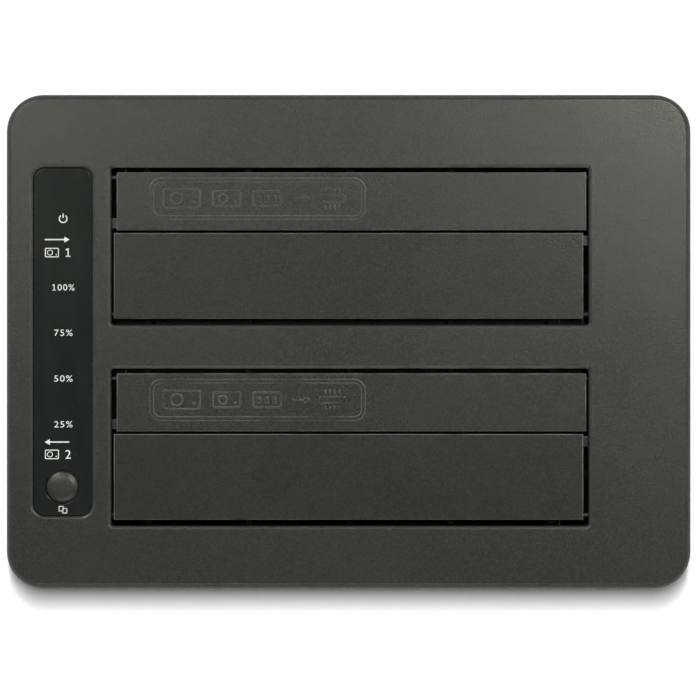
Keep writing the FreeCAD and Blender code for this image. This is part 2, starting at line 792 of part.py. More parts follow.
def well_guides(body):
    """Ribs with slanted lead-ins that steady the drive in depth and in width."""
    rear_wall, front_wall = f"({WELL_INNER_DEPTH} / 2)", f"(-{WELL_INNER_DEPTH} / 2)"
    rear_face = "(slot_depth / 2 - drive_rear_gap)"
    front_face = "(slot_depth / 2 - drive_rear_gap - drive_thickness - drive_side_room)"
    for name, wall, face, top in (
        ("rear", rear_wall, rear_face, "rear_guide_height"),
        ("front", front_wall, front_face, "front_guide_height"),
    ):
        out = "root_overlap" if name == "rear" else "-root_overlap"
        rib = Drawing(body, f"{name}_rib", "YZ_Plane", "-2 * guide_pitch - guide_thickness / 2")
        rib.outline([
            (f"{wall} + ({out})", "well_floor_height - root_overlap"), (f"{wall} + ({out})", top),
            (wall, top), (face, f"{top} - guide_lead"), (face, "well_floor_height - root_overlap"),
        ])
        first = pad(rib, f"{name}_guide", "guide_thickness")
        repeat(first, body, f"{name}_guides", "X_Axis", "guide_pitch", 5)
    face = "(drive_width / 2 + drive_side_room)"
    wall = f"({WELL_INNER_WIDTH} / 2)"
    for name, sign in (("left", "-"), ("right", "")):
        rib = Drawing(body, f"{name}_rib", "XZ_Plane", "side_guide_pitch - guide_thickness / 2")
        rib.outline([
            (f"{sign}({wall} + root_overlap)", "well_floor_height - root_overlap"),
            (f"{sign}({wall} + root_overlap)", "side_guide_height"),
            (f"{sign}{wall}", "side_guide_height"),
            (f"{sign}{face}", "side_guide_height - guide_lead"),
            (f"{sign}{face}", "well_floor_height - root_overlap"),
        ])
        first = pad(rib, f"{name}_guide", "guide_thickness")
        repeat(first, body, f"{name}_guides", "Y_Axis", "side_guide_pitch", 3)


def well_hinge_ears(body):
    """Four ears above the end walls, each with a notch that is open at its top for the pin."""
    inner = "(slot_width / 2 + ear_inner_gap)"
    outer = f"({WELL_WIDTH} / 2)"
    top = f"({HINGE_HEIGHT} + pin_radius)"
    root = f"({PLATE_UNDERSIDE} - ear_drop)"
    for name, y in (("narrow", NARROW_HINGE_Y), ("wide", WIDE_HINGE_Y)):
        ears = Drawing(body, f"{name}_ears", "XZ_Plane", f"-{y} - barrel_radius - ear_margin")
        for sign in LEFT_RIGHT:
            ears.outline([
                (f"{sign}{inner}", top), (f"{sign}({inner} + ear_thickness)", top),
                (f"{sign}({inner} + ear_thickness)", f"{PLATE_UNDERSIDE} - root_overlap"),
                (f"{sign}({WELL_INNER_WIDTH} / 2 + root_overlap)", root),
                (f"{sign}{inner}", f"{root} + well_side_room"),
            ])
        pad(ears, f"{name}_hinge_ears", "2 * (barrel_radius + ear_margin)")
        notch = Drawing(body, f"{name}_notch", "YZ_Plane", f"-{outer} - overcut")
        reach = "(pin_radius + notch_clearance)"
        notch.outline([
            (f"{y} - {reach}", f"{HINGE_HEIGHT} + overcut"),
            (f"{y} - {reach}", HINGE_HEIGHT, f"{reach} * {HALF_ROUND}", "left"),
            (f"{y} + {reach}", HINGE_HEIGHT),
            (f"{y} + {reach}", f"{HINGE_HEIGHT} + overcut"),
        ])
        pocket(notch, f"{name}_pin_notches", f"2 * {outer} + 2 * overcut", back=True)
    for name, sign, wall in (("narrow", "-", "rear"), ("wide", "", "front")):
        side = "" if wall == "rear" else "-"
        slot = Drawing(body, f"{name}_leg", offset=PLATE_UNDERSIDE)
        leg_x = f"{sign}(slot_width / 2 - flap_spring_side_gap - spring_end_gap - spring_wire / 2)"
        slot.rectangle(leg_x, f"{side}({WELL_INNER_DEPTH} / 2 + well_wall / 2)", "leg_notch_width",
                       "well_wall + root_overlap")
        pocket(slot, f"{name}_spring_notch", "leg_notch_depth")


def well_brackets(body, outward, inner_side):
    """Screw brackets on the outer long side, and one towards the other well."""
    inward = "-" if outward == "" else ""
    tabs = Drawing(body, "brackets", offset="bracket_height - bracket_thickness")
    holes = Drawing(body, "bracket_holes", offset="bracket_height - bracket_thickness")
    sites = [(f"{sign}bracket_x", outward) for sign in LEFT_RIGHT]
    sites.append((f"{inner_side}inner_bracket_x", inward))
    wall = f"({WELL_DEPTH} / 2 - well_wall / 2)"
    for x, side in sites:
        bend = "left" if side == "" else "right"
        left, right = f"{x} - bracket_radius", f"{x} + bracket_radius"
        tabs.outline([
            (left, f"{side}{wall}"), (right, f"{side}{wall}"),
            (right, f"{side}{BRACKET_Y}", f"bracket_radius * {HALF_ROUND}", bend),
            (left, f"{side}{BRACKET_Y}"),
        ])
        holes.circle(x, f"{side}{BRACKET_Y}", "bracket_screw_radius + 2 * screw_margin")
    pad(tabs, "screw_brackets", "bracket_thickness")
    pocket(holes, "bracket_screw_ways", "bracket_thickness + overcut", back=True)


def flap(bay, name, depth, bordered):
    """Sprung flap in its own frame: hinge axis along X through the origin at its rear edge."""
    body = new_body(f"{bay}_{name}_flap")
    left = "(slot_width / 2 - flap_spring_side_gap)"
    width = "(slot_width - flap_spring_side_gap - flap_free_side_gap)"
    top, under = "hinge_drop", "(hinge_drop - flap_thickness)"
    free = f"(hinge_inset - {depth})"
    plate = Drawing(body, "plate", "YZ_Plane", f"-{left}")
    plate.outline([
        ("hinge_inset", top), (free, top), (free, f"{under} - lip_height"),
        (f"{free} + lip_thickness", f"{under} - lip_height"), (f"{free} + lip_thickness", under),
        ("hinge_inset", under),
    ])
    pad(plate, "plate_and_lip", width)
    soften("Fillet", body, "upper_edges", level(number(top)), "flap_round")
    barrel = Drawing(body, "barrel", "YZ_Plane", f"-{left}")
    barrel.circle("0", "0", "barrel_radius")
    pad(barrel, "hinge_barrel", width)
    rib = Drawing(body, "rib", "YZ_Plane", "rib_offset - 2 * rib_pitch")
    rib.outline([
        ("-barrel_radius / 2", f"{under} + root_overlap"), ("-barrel_radius / 2", f"{under} - rib_height"),
        (f"{free} + lip_thickness / 2", f"{under} - rib_height"),
        (f"{free} + lip_thickness / 2", f"{under} + root_overlap"),
    ])
    first = pad(rib, "first_rib", "rib_thickness")
    repeat(first, body, "ribs", "X_Axis", "rib_pitch", 5)
    bore = Drawing(body, "bore", "YZ_Plane", f"-{left} - overcut")
    bore.circle("0", "0", "pin_radius + pin_clearance")
    pocket(bore, "pin_bore", f"{width} + 2 * overcut", back=True)
    room = Drawing(body, "spring_room", "YZ_Plane", f"-{left} + spring_end_gap - spring_room")
    room.rectangle("0", "-spring_room_drop", "spring_room_length", "spring_room_height")
    pocket(room, "spring_notch", "spring_length + 2 * spring_room", back=True)
    flap_stop(body, left, free, under)
    if bordered:
        flap_border(body)
    return body


def flap_stop(body, left, free, under):
    """Tab below the spring end's corner. It meets the cover's underside when the flap is shut."""
    tip = f"(-{left} - flap_spring_side_gap - stop_overlap)"
    tab_top = f"({PLATE_UNDERSIDE} - stop_clearance - {HINGE_HEIGHT})"
    tab_bottom = f"({tab_top} - stop_thickness)"
    tab = Drawing(body, "tab", "XZ_Plane", f"-({free} + stop_edge_gap + stop_length)")
    tab.outline([
        (tip, tab_top), (tip, tab_bottom), (f"-{left} + stop_root", tab_bottom),
        (f"-{left} + stop_root", f"{under} + root_overlap"), (f"-{left}", f"{under} + root_overlap"),
        (f"-{left}", tab_top),
    ])
    pad(tab, "stop_tab", "stop_length")


def flap_border(body):
    """Raised border that marks where a drive's connector end goes."""
    border = Drawing(body, "border", offset="hinge_drop - border_root")
    y = "(hinge_inset - border_inset)"
    border.rectangle("border_x", y, "border_width", "border_depth", "border_corner")
    border.rectangle("border_x", y, "border_width - 2 * border_line", "border_depth - 2 * border_line",
                     "border_corner - border_line")
    pad(border, "raised_border", "border_relief + border_root")


def seat_on_hinge(piece, bay, name):
    """Move a piece from the flap's own frame to its hinge; a wide flap opens the other way."""
    hinge = NARROW_HINGE_Y if name == "narrow" else WIDE_HINGE_Y
    turn = None if name == "narrow" else 180
    place(piece, "slot_x", f"{BAYS[bay]} + {hinge}", HINGE_HEIGHT, turn)


def hinge_pin(bay, name):
    body = new_body(f"{bay}_{name}_hinge_pin")
    end = Drawing(body, "end", "YZ_Plane", "-pin_length / 2")
    end.circle("0", "0", "pin_radius")
    pad(end, "rod", "pin_length")
    soften("Chamfer", body, "ends", lambda box: box.XLength < 0.01, "pin_chamfer")
    return body


def flap_spring(bay, name):
    """Torsion spring in its hinge's frame: a close-wound coil and a straight leg each way."""
    body = new_body(f"{bay}_{name}_flap_spring")
    start = "(slot_width / 2 - flap_spring_side_gap - spring_end_gap)"
    coil = Drawing(body, "coil", "YZ_Plane", f"-{start}")
    coil.circle("0", "0", "spring_coil_radius + spring_wire / 2")
    coil.circle("0", "0", "spring_coil_radius - spring_wire / 2")
    pad(coil, "wound_coil", "spring_length")
    for leg, at, length, back in (
        ("anchor", f"-{start} + spring_wire / 2", "spring_anchor", True),
        ("flap", f"-{start} + spring_length - spring_wire / 2", "spring_leg", False),
    ):
        wire = Drawing(body, f"{leg}_wire", "XZ_Plane")
        wire.circle(at, "-spring_coil_radius", "spring_leg_radius")
        pad(wire, f"{leg}_leg", length, back=back)
    return body


def blade_slot(drawing, left, length):
    """Mouth for one of the drive's blades, with the key that turns its end into an L."""
    half = "blade_slot_width / 2"
    right = f"({left} + {length})"
    drawing.outline([
        (left, f"-{half}"), (right, f"-{half}"), (right, half),
        (f"{left} + key_length", half), (f"{left} + key_length", f"{half} + key_depth"),
        (left, f"{half} + key_depth"),
    ])


SIGNAL_LEFT = "(signal_inset - socket_length / 2)"
POWER_LEFT = "(signal_inset - socket_length / 2 + signal_length + blade_gap)"


def drive_socket(bay):
    """Upright 7 + 15 way socket that a drive plugs down onto."""
    body = new_body(f"{bay}_drive_socket")
    foot = Drawing(body, "foot", offset=BOARD_TOP)
    foot.rectangle("0", "0", "socket_length", "socket_width", "socket_corner")
    pad(foot, "housing", f"socket_height - {BOARD_TOP}")
    soften("Chamfer", body, "lead_in", level(number("socket_height")), "socket_lead_in")
    mouths = Drawing(body, "mouths", offset="socket_height")
    blade_slot(mouths, SIGNAL_LEFT, "signal_length")
    blade_slot(mouths, POWER_LEFT, "power_length")
    pocket(mouths, "blade_slots", "blade_slot_depth")
    notches = Drawing(body, "notches", offset="socket_height")
    for sign in LEFT_RIGHT:
        notches.rectangle(f"{sign}(socket_length / 2 - guide_notch_inset)", "0", "guide_notch_width",
                          "guide_notch_depth")
    pocket(notches, "guide_notches", "guide_notch_height")
    place(body, "slot_x + socket_x", f"{BAYS[bay]} + slot_depth / 2 - socket_rear_gap")
    return body


def socket_contacts(bay):
    """Spring contacts along the front wall of both mouths: seven signal, fifteen power."""
    body = new_body(f"{bay}_socket_contacts")
    y = "(contact_thickness / 2 - blade_slot_width / 2)"
    for name, left, count in (("signal", SIGNAL_LEFT, 7), ("power", POWER_LEFT, 15)):
        strip = Drawing(body, name, offset="socket_height - contact_drop")
        strip.rectangle(f"{left} + contact_inset", y, "contact_width", "contact_thickness")
        first = pad(strip, f"{name}_contact", "blade_slot_depth - contact_drop", back=True)
        repeat(first, body, f"{name}_contacts", "X_Axis", "contact_pitch", count)
    place(body, "slot_x + socket_x", f"{BAYS[bay]} + slot_depth / 2 - socket_rear_gap")
    return body


# ---------------------------------------------------------------- indicator strip and button

def indicator_panel():
    body = new_body("indicator_panel")
    sheet = Drawing(body, "sheet", offset=PANEL_BOTTOM)
    sheet.rectangle("panel_x", "0", "panel_width", "panel_length", "panel_corner")
    sheet.circle("panel_x", "button_y", "button_hole_radius")
    pad(sheet, "strip", "panel_thickness")
    top = number(f"{PANEL_BOTTOM} + panel_thickness")
    soften("Chamfer", body, "upper_edges", level(top), "panel_bevel")
    return body


def light_pipes():
    """Clear rods that lead from the light chips to the back of the strip."""
    body = new_body("light_pipes")
    start = "(indicator_board_top + light_height + pipe_gap)"
    rods = Drawing(body, "rods", offset=start)
    for x, y in light_places():
        rods.circle(x, y, "pipe_radius")
    pad(rods, "pipes", f"{PANEL_BOTTOM} - pipe_tip_gap - {start}")
    return body


def indicator_board():
    body = new_body("indicator_board")
    sheet = Drawing(body, "sheet", offset="indicator_board_top")
    sheet.rectangle("panel_x", "0", "indicator_board_width", "indicator_board_length",
                    "indicator_board_corner")
    for sign in LEFT_RIGHT:
        sheet.circle("indicator_boss_x", f"{sign}indicator_boss_y", "bracket_screw_radius + 2 * screw_margin")
    pad(sheet, "laminate", "board_thickness", back=True)
    return body


def indicator_lights():
    body = new_body("indicator_lights")
    chips = Drawing(body, "chips", offset="indicator_board_top")
    for x, y in light_places():
        chips.rectangle(x, y, "light_width", "light_length")
    pad(chips, "light_chips", "light_height")
    return body


def tact_switch():
    body = new_body("tact_switch")
    case = Drawing(body, "case", offset="indicator_board_top")
    case.rectangle("panel_x", "button_y", "switch_side", "switch_side", "switch_corner")
    pad(case, "switch_case", "switch_top - indicator_board_top")
    bore = Drawing(body, "bore", offset="switch_top")
    bore.circle("panel_x", "button_y", "plunger_radius + plunger_room")
    pocket(bore, "plunger_bore", "switch_top - plunger_hole_bottom")
    return body


def switch_plunger():
    body = new_body("switch_plunger")
    disc = Drawing(body, "disc", offset="plunger_bottom")
    disc.circle("panel_x", "button_y", "plunger_radius")
    pad(disc, "plunger", "button_stem_bottom - plunger_bottom")
    return body


def copy_button():
    """Domed cap with a retaining collar and a stem that stands on the switch plunger."""
    body = new_body("copy_button")
    rise = "(button_top - button_edge)"
    dome_radius = f"((button_radius - button_round) ^ 2 + {rise} ^ 2) / (2 * {rise})"
    half = Drawing(body, "half", "XZ_Plane")
    half.outline([
        ("0", "button_stem_bottom"), ("button_stem_radius", "button_stem_bottom"),
        ("button_stem_radius", "button_collar_bottom"), ("button_collar_radius", "button_collar_bottom"),
        ("button_collar_radius", "button_collar_top"), ("button_radius", "button_collar_top"),
        ("button_radius", "button_edge - button_round"),
        ("button_radius - button_round", "button_edge", dome_radius, "left"),
        ("0", "button_top"),
    ])
    revolve(half, "turned_cap")
    place(body, "panel_x", "button_y")
    return body


def indicator_cable():
    """Flat cable from under the indicator board down to the edge of the main board."""
    body = new_body("indicator_cable")
    strip = Drawing(body, "strip", "XZ_Plane", "-cable_width / 2")
    upper_x = "(panel_x - header_width / 2 + header_offset)"
    lower_x = "(header_width - board_width / 2 - cable_thickness)"
    top = "(indicator_board_top - board_thickness - header_height)"
    bottom = f"({BOARD_TOP} + header_height)"
    strip.outline([
        (upper_x, top), (upper_x, f"{bottom} + cable_drop"), (lower_x, f"{bottom} + cable_rise"),
        (lower_x, bottom), (f"{lower_x} + cable_thickness", bottom),
        (f"{lower_x} + cable_thickness", f"{bottom} + cable_rise + cable_thickness / 2"),
        (f"{upper_x} + cable_thickness", f"{bottom} + cable_drop + cable_thickness / 2"),
        (f"{upper_x} + cable_thickness", top),
    ])
    pad(strip, "flat_strip", "cable_width")
    return body


def cable_headers():
    """The two small headers that the flat cable plugs into."""
    body = new_body("cable_headers")
    upper = Drawing(body, "upper", offset="indicator_board_top - board_thickness")
    upper.rectangle("panel_x - header_width / 2 + 2 * header_offset", "0", "header_width", "header_length")
    pad(upper, "upper_header", "header_height", back=True)
    lower = Drawing(body, "lower", offset=BOARD_TOP)
    lower.rectangle("header_width - header_offset - board_width / 2", "0", "header_width", "header_length")
    pad(lower, "lower_header", "header_height")
    return body


# ---------------------------------------------------------------- main board and ports

def main_board():
    body = new_body("main_board")
    sheet = Drawing(body, "sheet", offset="board_height")
    sheet.rectangle("0", "board_y", "board_width", "board_depth", "board_corner")
    for x, y in board_screw_places():
        sheet.circle(x, y, "board_screw_radius + 2 * screw_margin")
    pad(sheet, "laminate", "board_thickness")
    return body


def board_bodies(name, places, height, corner="body_corner", chamfer=None):
    """A group of moulded component bodies on the main board: (x, y, width, depth) each."""
    body = new_body(name)
    footprints = Drawing(body, "footprints", offset=BOARD_TOP)
    for x, y, width, depth in places:
        footprints.rectangle(x, y, width, depth, corner)
    pad(footprints, "bodies", height)
    if chamfer:
        soften("Chamfer", body, "upper_edges", level(number(f"{BOARD_TOP} + {height}")), chamfer)
    return body


def smoothing_capacitors():
    """Upright electrolytic cans with a rolled neck above the base."""
    body = new_body("smoothing_capacitors")
    for part_name, radius, start, end in (
        ("base", "can_radius", "0", "can_base"),
        ("neck", "can_radius - can_neck_depth", "can_base", "can_base + can_neck"),
        ("can", "can_radius", "can_base + can_neck", "can_height"),
    ):
        rings = Drawing(body, part_name, offset=f"{BOARD_TOP} + {start}")
        for x, y in CAPACITOR_PLACES:
            rings.circle(x, y, radius)
        pad(rings, f"{part_name}_ring", f"{end} - ({start})")
    soften("Chamfer", body, "upper_edges", level(number(f"{BOARD_TOP} + can_height")), "can_chamfer")
    return body


def usb_outline(drawing, grow):
    """The stepped square socket outline, grown outward on every side."""
    low = f"({BOARD_TOP} + usb_shell)"
    half, top = f"(usb_width / 2 - usb_shell + {grow})", f"({low} + usb_low_height - 2 * usb_shell + {grow})"
    narrow, peak = f"(usb_high_width / 2 - usb_shell + {grow})", f"({low} + usb_height - usb_shell + {grow})"
    drawing.outline([
        (f"usb_x - {half}", f"{low} - {grow}"), (f"usb_x + {half}", f"{low} - {grow}"),
        (f"usb_x + {half}", f"{top} - usb_shoulder"), (f"usb_x + {narrow}", top),
        (f"usb_x + {narrow}", peak), (f"usb_x - {narrow}", peak),
        (f"usb_x - {narrow}", top), (f"usb_x - {half}", f"{top} - usb_shoulder"),
    ])


def usb_socket_shell():
    body = new_body("usb_socket_shell")
    outside = Drawing(body, "outside", "XZ_Plane", "-port_face")
    usb_outline(outside, "usb_shell")
    pad(outside, "shell_block", "usb_depth")
    mouth = Drawing(body, "mouth", "XZ_Plane", "-port_face")
    usb_outline(mouth, "0")
    pocket(mouth, "socket_mouth", "usb_mouth_depth", back=True)
    return body


def usb_socket_tongues():
    """The two moulded tongues that stand in the socket's mouth."""
    body = new_body("usb_socket_tongues")
    back = "-(port_face - usb_mouth_depth)"
    low = f"({BOARD_TOP} + usb_shell)"
    large = Drawing(body, "large", "XZ_Plane", back)
    large.rectangle("usb_x", f"{low} + usb_low_height / 2 - usb_shell", "usb_tongue_width",
                    "usb_tongue_height")
    large.rectangle("usb_x", f"{low} + usb_height - usb_small_tongue_drop", "usb_small_tongue_width",
                    "usb_small_tongue_height")
    pad(large, "tongues", "usb_tongue_depth", back=True)
    return body


def usb_socket_contacts():
    """Four contacts on the large tongue and five on the small one."""
    body = new_body("usb_socket_contacts")
    low = f"({BOARD_TOP} + usb_shell)"
    centre = f"({low} + usb_low_height / 2 - usb_shell)"
    strips = Drawing(body, "strips", "XZ_Plane", "-(port_face - usb_mouth_depth)")
    for sign in LEFT_RIGHT:
        for column in (-1, 1):
            strips.rectangle(f"usb_x + {column} * usb_contact_pitch",
                             f"{centre} + {sign}(usb_tongue_height + usb_contact_height) / 2",
                             "usb_contact_width", "usb_contact_height")
    under = f"({low} + usb_height - usb_small_tongue_drop - usb_small_tongue_height / 2)"
    for column in range(-2, 3):
        strips.rectangle(f"usb_x + {column} * usb_small_contact_pitch",
                         f"{under} - usb_small_contact_height / 2",
                         "usb_small_contact_width", "usb_small_contact_height")
    pad(strips, "contact_strips", "usb_tongue_depth - usb_contact_inset", back=True)
    return body


def power_jack():
    body = new_body("power_jack")
    height = f"({BOARD_TOP} + jack_height / 2)"
    block = Drawing(body, "block", "XZ_Plane", "-(port_face - jack_nose)")
    block.rectangle("jack_x", height, "jack_width", "jack_height", "port_corner")
    pad(block, "jack_block", "jack_depth - jack_nose")
    nose = Drawing(body, "nose", "XZ_Plane", "-port_face")
    nose.circle("jack_x", height, "jack_nose_radius")
    pad(nose, "jack_round_nose", "jack_nose")
    bore = Drawing(body, "bore", "XZ_Plane", "-port_face")
    bore.circle("jack_x", height, "jack_bore_radius")
    pocket(bore, "plug_bore", "jack_bore_depth", back=True)
    return body


def power_jack_pin():
    body = new_body("power_jack_pin")
    end = Drawing(body, "end", "XZ_Plane", "-(port_face - jack_bore_depth)")
    end.circle("jack_x", f"{BOARD_TOP} + jack_height / 2", "jack_pin_radius")
    pad(end, "centre_pin", "jack_pin_length", back=True)
    tip = number("port_face - jack_bore_depth + jack_pin_length")
    soften("Chamfer", body, "tapered_tip", lambda box: abs(box.YMin - tip) < 0.01, "jack_pin_taper")
    return body


ROCKER_HEIGHT = f"({BOARD_TOP} + rocker_case_height / 2)"


def rocker_case():
    """Switch case with an open mouth and a bearing hole above and below the rocker."""
    body = new_body("power_switch_case")
    block = Drawing(body, "block", "XZ_Plane", "-port_face")
    block.rectangle("rocker_x", ROCKER_HEIGHT, "rocker_case_width", "rocker_case_height", "port_corner")
    pad(block, "case_block", "rocker_case_depth")
    mouth = Drawing(body, "mouth", "XZ_Plane", "-port_face")
    mouth.rectangle("rocker_x", ROCKER_HEIGHT, "rocker_mouth_width", "rocker_mouth_height", "body_corner")
    pocket(mouth, "case_mouth", "rocker_mouth_depth", back=True)
    holes = Drawing(body, "holes", offset=f"{ROCKER_HEIGHT} - rocker_axle_length / 2 - axle_end_gap")
    holes.circle("rocker_x", "rocker_pivot_y", "rocker_hole_radius")
    pocket(holes, "axle_holes", "rocker_axle_length + 2 * axle_end_gap", back=True)
    return body


def power_rocker():
    """Rocker about an upright axle, modelled level and then tilted to its off position."""
    body = new_body("power_rocker")
    half = "rocker_width / 2"
    face = Drawing(body, "face", offset="-rocker_height / 2")
    face.outline([
        (f"-{half}", "rocker_crown"), (f"-{half} + rocker_taper", "rocker_shoulder"),
        ("-rocker_keel_half", "-rocker_keel"), ("rocker_keel_half", "-rocker_keel"),
        (f"{half} - rocker_taper", "rocker_shoulder"), (half, "rocker_crown"), ("0", "rocker_valley"),
    ])
    pad(face, "rocker_block", "rocker_height")
    axle = Drawing(body, "axle", offset="-rocker_axle_length / 2")
    axle.circle("0", "0", "rocker_axle_radius")
    pad(axle, "rocker_axle", "rocker_axle_length")
    place(body, "rocker_x", "rocker_pivot_y", ROCKER_HEIGHT, turn=-number("rocker_tilt"))
    return body


# ---------------------------------------------------------------- assembly

def case_parts():
    parts = [top_cover(), base_tray(), rubber_feet()]
    corner_places = [(f"{sx}post_x", f"{sy}post_y") for sx, sy in CORNERS]
    parts.append(screws("case_screws", corner_places, "screw_head_radius", "screw_head_height",
                        "screw_radius", "screw_length", "screw_seat", True))
    parts.append(screws("well_screws", bracket_places(), "bracket_screw_head_radius",
                        "bracket_screw_head_height", "bracket_screw_radius - screw_margin",
                        "bracket_thickness + bracket_screw_grip", "bracket_height - bracket_thickness", True))
    indicator_places = [("indicator_boss_x", f"{sign}indicator_boss_y") for sign in LEFT_RIGHT]
    parts.append(screws("indicator_board_screws", indicator_places, "indicator_screw_head_radius",
                        "indicator_screw_head_height", "bracket_screw_radius - screw_margin",
                        "board_thickness + indicator_screw_grip",
                        "indicator_board_top - board_thickness", True))
    parts.append(screws("main_board_screws", board_screw_places(), "board_screw_head_radius",
                        "board_screw_head_height", "board_screw_radius", "board_thickness + board_screw_grip",
                        BOARD_TOP, False))
    return parts


def bay_parts():
    parts = []
    for bay, outward, inner_side in (("source", "", "-"), ("target", "-", "")):
        parts.append(drive_well(bay, outward, inner_side))
        for name, depth in (("narrow", "narrow_flap_depth"), ("wide", "wide_flap_depth")):
            hinged = [flap(bay, name, depth, name == "narrow"), hinge_pin(bay, name),
                      flap_spring(bay, name)]
            for piece in hinged:
                seat_on_hinge(piece, bay, name)
            parts.extend(hinged)
        parts.append(drive_socket(bay))
        parts.append(socket_contacts(bay))
    return parts


def panel_parts():
    return [indicator_panel(), light_pipes(), indicator_board(), indicator_lights(), tact_switch(),
            switch_plunger(), copy_button(), indicator_cable(), cable_headers()]


def board_parts():
    bodies = [board_bodies(name, *layout) for name, layout in BOARD_BODIES.items()]
    return [
        main_board(), *bodies, smoothing_capacitors(),
        usb_socket_shell(), usb_socket_tongues(), usb_socket_contacts(),
        power_jack(), power_jack_pin(), rocker_case(), power_rocker(),
    ]


def check(parts):
    """Stop on any failed object or bad shape before a file is written."""
    DOC.recompute()
    for item in DOC.Objects:
        if "Invalid" in item.State or "Error" in item.State:
            raise ValueError(f"{item.Label}: {item.State}")
    for piece in parts:
        if piece.Shape.isNull() or not piece.Shape.isValid() or not piece.Shape.Solids:
            raise ValueError(f"{piece.Label}: bad shape")


def main():
    fill_sheet()
    parts = case_parts() + bay_parts() + panel_parts() + board_parts()
    check(parts)
    os.makedirs("parts", exist_ok=True)
    for piece in parts:
        piece.Shape.exportStep(f"parts/{piece.Label}.step")
    print(len(parts), "sub-parts written")


main()
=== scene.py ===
import json
import math

import bmesh
import bpy
from mathutils import Matrix, Vector
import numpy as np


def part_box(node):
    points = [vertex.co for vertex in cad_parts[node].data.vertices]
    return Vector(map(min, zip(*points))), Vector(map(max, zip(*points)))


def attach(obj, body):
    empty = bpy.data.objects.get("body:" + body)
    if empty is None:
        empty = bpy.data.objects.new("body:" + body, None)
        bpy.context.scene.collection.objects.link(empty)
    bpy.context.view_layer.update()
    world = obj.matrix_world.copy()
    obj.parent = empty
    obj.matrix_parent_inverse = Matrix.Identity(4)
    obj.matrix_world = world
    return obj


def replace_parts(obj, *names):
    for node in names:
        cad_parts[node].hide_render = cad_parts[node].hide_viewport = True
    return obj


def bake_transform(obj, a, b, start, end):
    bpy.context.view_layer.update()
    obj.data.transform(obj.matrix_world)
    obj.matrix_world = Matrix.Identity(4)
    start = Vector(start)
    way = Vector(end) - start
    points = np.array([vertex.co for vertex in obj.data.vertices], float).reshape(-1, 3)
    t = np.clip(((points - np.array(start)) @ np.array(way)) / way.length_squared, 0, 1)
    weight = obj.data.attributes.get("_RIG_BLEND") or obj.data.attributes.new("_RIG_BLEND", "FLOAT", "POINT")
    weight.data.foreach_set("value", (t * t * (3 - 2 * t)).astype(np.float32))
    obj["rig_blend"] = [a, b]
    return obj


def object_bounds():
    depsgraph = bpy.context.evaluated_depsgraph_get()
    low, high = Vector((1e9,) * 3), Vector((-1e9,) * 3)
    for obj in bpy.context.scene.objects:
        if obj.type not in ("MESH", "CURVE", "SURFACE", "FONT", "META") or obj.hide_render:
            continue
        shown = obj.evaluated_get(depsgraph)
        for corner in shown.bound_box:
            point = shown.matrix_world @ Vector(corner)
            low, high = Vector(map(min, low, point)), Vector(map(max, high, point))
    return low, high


# Desktop drive duplicator: the finish of its shells, flaps, strip, button, ports and inner parts.
# The two bays are called source (rear) and target (front), as in the frame.

MM = 0.001
BAYS = ("source", "target")
FLAPS = ("narrow", "wide")

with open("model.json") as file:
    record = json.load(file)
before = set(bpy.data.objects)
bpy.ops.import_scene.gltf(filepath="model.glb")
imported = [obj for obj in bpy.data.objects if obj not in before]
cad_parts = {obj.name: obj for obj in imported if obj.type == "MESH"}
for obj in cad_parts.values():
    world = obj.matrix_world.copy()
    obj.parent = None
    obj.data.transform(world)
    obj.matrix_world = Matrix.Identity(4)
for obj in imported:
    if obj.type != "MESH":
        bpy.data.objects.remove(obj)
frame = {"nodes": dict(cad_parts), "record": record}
cad_box = [list(corner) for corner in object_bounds()]


# ---------------------------------------------------------------- measures

# Setting
SENSOR = 36.0
CAMERA_HEIGHT = 0.9
CROWN_OVER_TOP = 0.75 * MM
VIEW_WIDTH = 155.9 * MM
VIEW_CENTRE = (0.3 * MM, -1.85 * MM)
FLOOR_REACH = 6.0
FLOOR_GAP = 0.02 * MM
FLOOR_COLOUR = (0.95, 0.95, 0.95)
LAMP_REACH = (0.13, 0.3)
CEILING = 0.16
HORIZON = (0.15, 0.4)
SHEEN_COLOUR = (1.0, 0.995, 0.87)
LAMP_AIM = (0.0, 0.0, 0.06)
OVERHEAD_STRIP = ((0.0, 0.053, 1.06), (0.02, 0.1), 11.7)
SHEEN_LAMPS = (
    ("rear_right_lamp", (0.225, 0.195, 1.06), (0.12, 0.12), 2.25),
    ("rear_left_lamp", (-0.225, 0.185, 1.06), (0.12, 0.12), 1.0),
    ("left_softbox", (-0.55, 0.1, 0.5), (0.25, 0.5), 0.35),
    ("right_softbox", (0.55, 0.1, 0.5), (0.25, 0.5), 0.45),
    ("rear_left_softbox", (-0.36, 0.42, 0.7), (0.3, 0.3), 2.6),
    ("rear_right_softbox", (0.36, 0.42, 0.7), (0.3, 0.3), 2.3),
    ("front_softbox", (0.0, -0.42, 0.7), (0.5, 0.2), 0.8),
)

# Plastics
CASE_COLOUR = (0.0174, 0.0174, 0.0165)
CASE_GLOSS = 0.36
FLAP_COLOUR = (0.0168, 0.0168, 0.0157)
FLAP_GLOSS = 0.33

# Edges. Angles are in degrees. A slope pair gives how squarely a slope has to face that way, and how strong
# a painted highlight it gets.
WELD = 0.0005 * MM
FLAT = 0.6
SHARP = 40
SHARP_PRINT = 60
CRISP_SHADING = 32
CRISP_TURNED = 50
LEVEL = 0.01 * MM
UPWARD = 0.75
REARWARD = 0.8
SLOPES = (0.3, 0.985)
FLAP_HIGHLIGHT = (-0.4, 1.0)
SLOT_HIGHLIGHT = (0.5, 4.6)
SLOTS_BEYOND = (-56 * MM, -50 * MM)

# Artwork, drawn in mm
DRAWN_WELD = 0.002
CORNER_STEPS = 5
FULL_TURN = 360.0
RING_STEP = 12
FIGURE_SPACING = 1.15
FIGURE_STEPS = 5

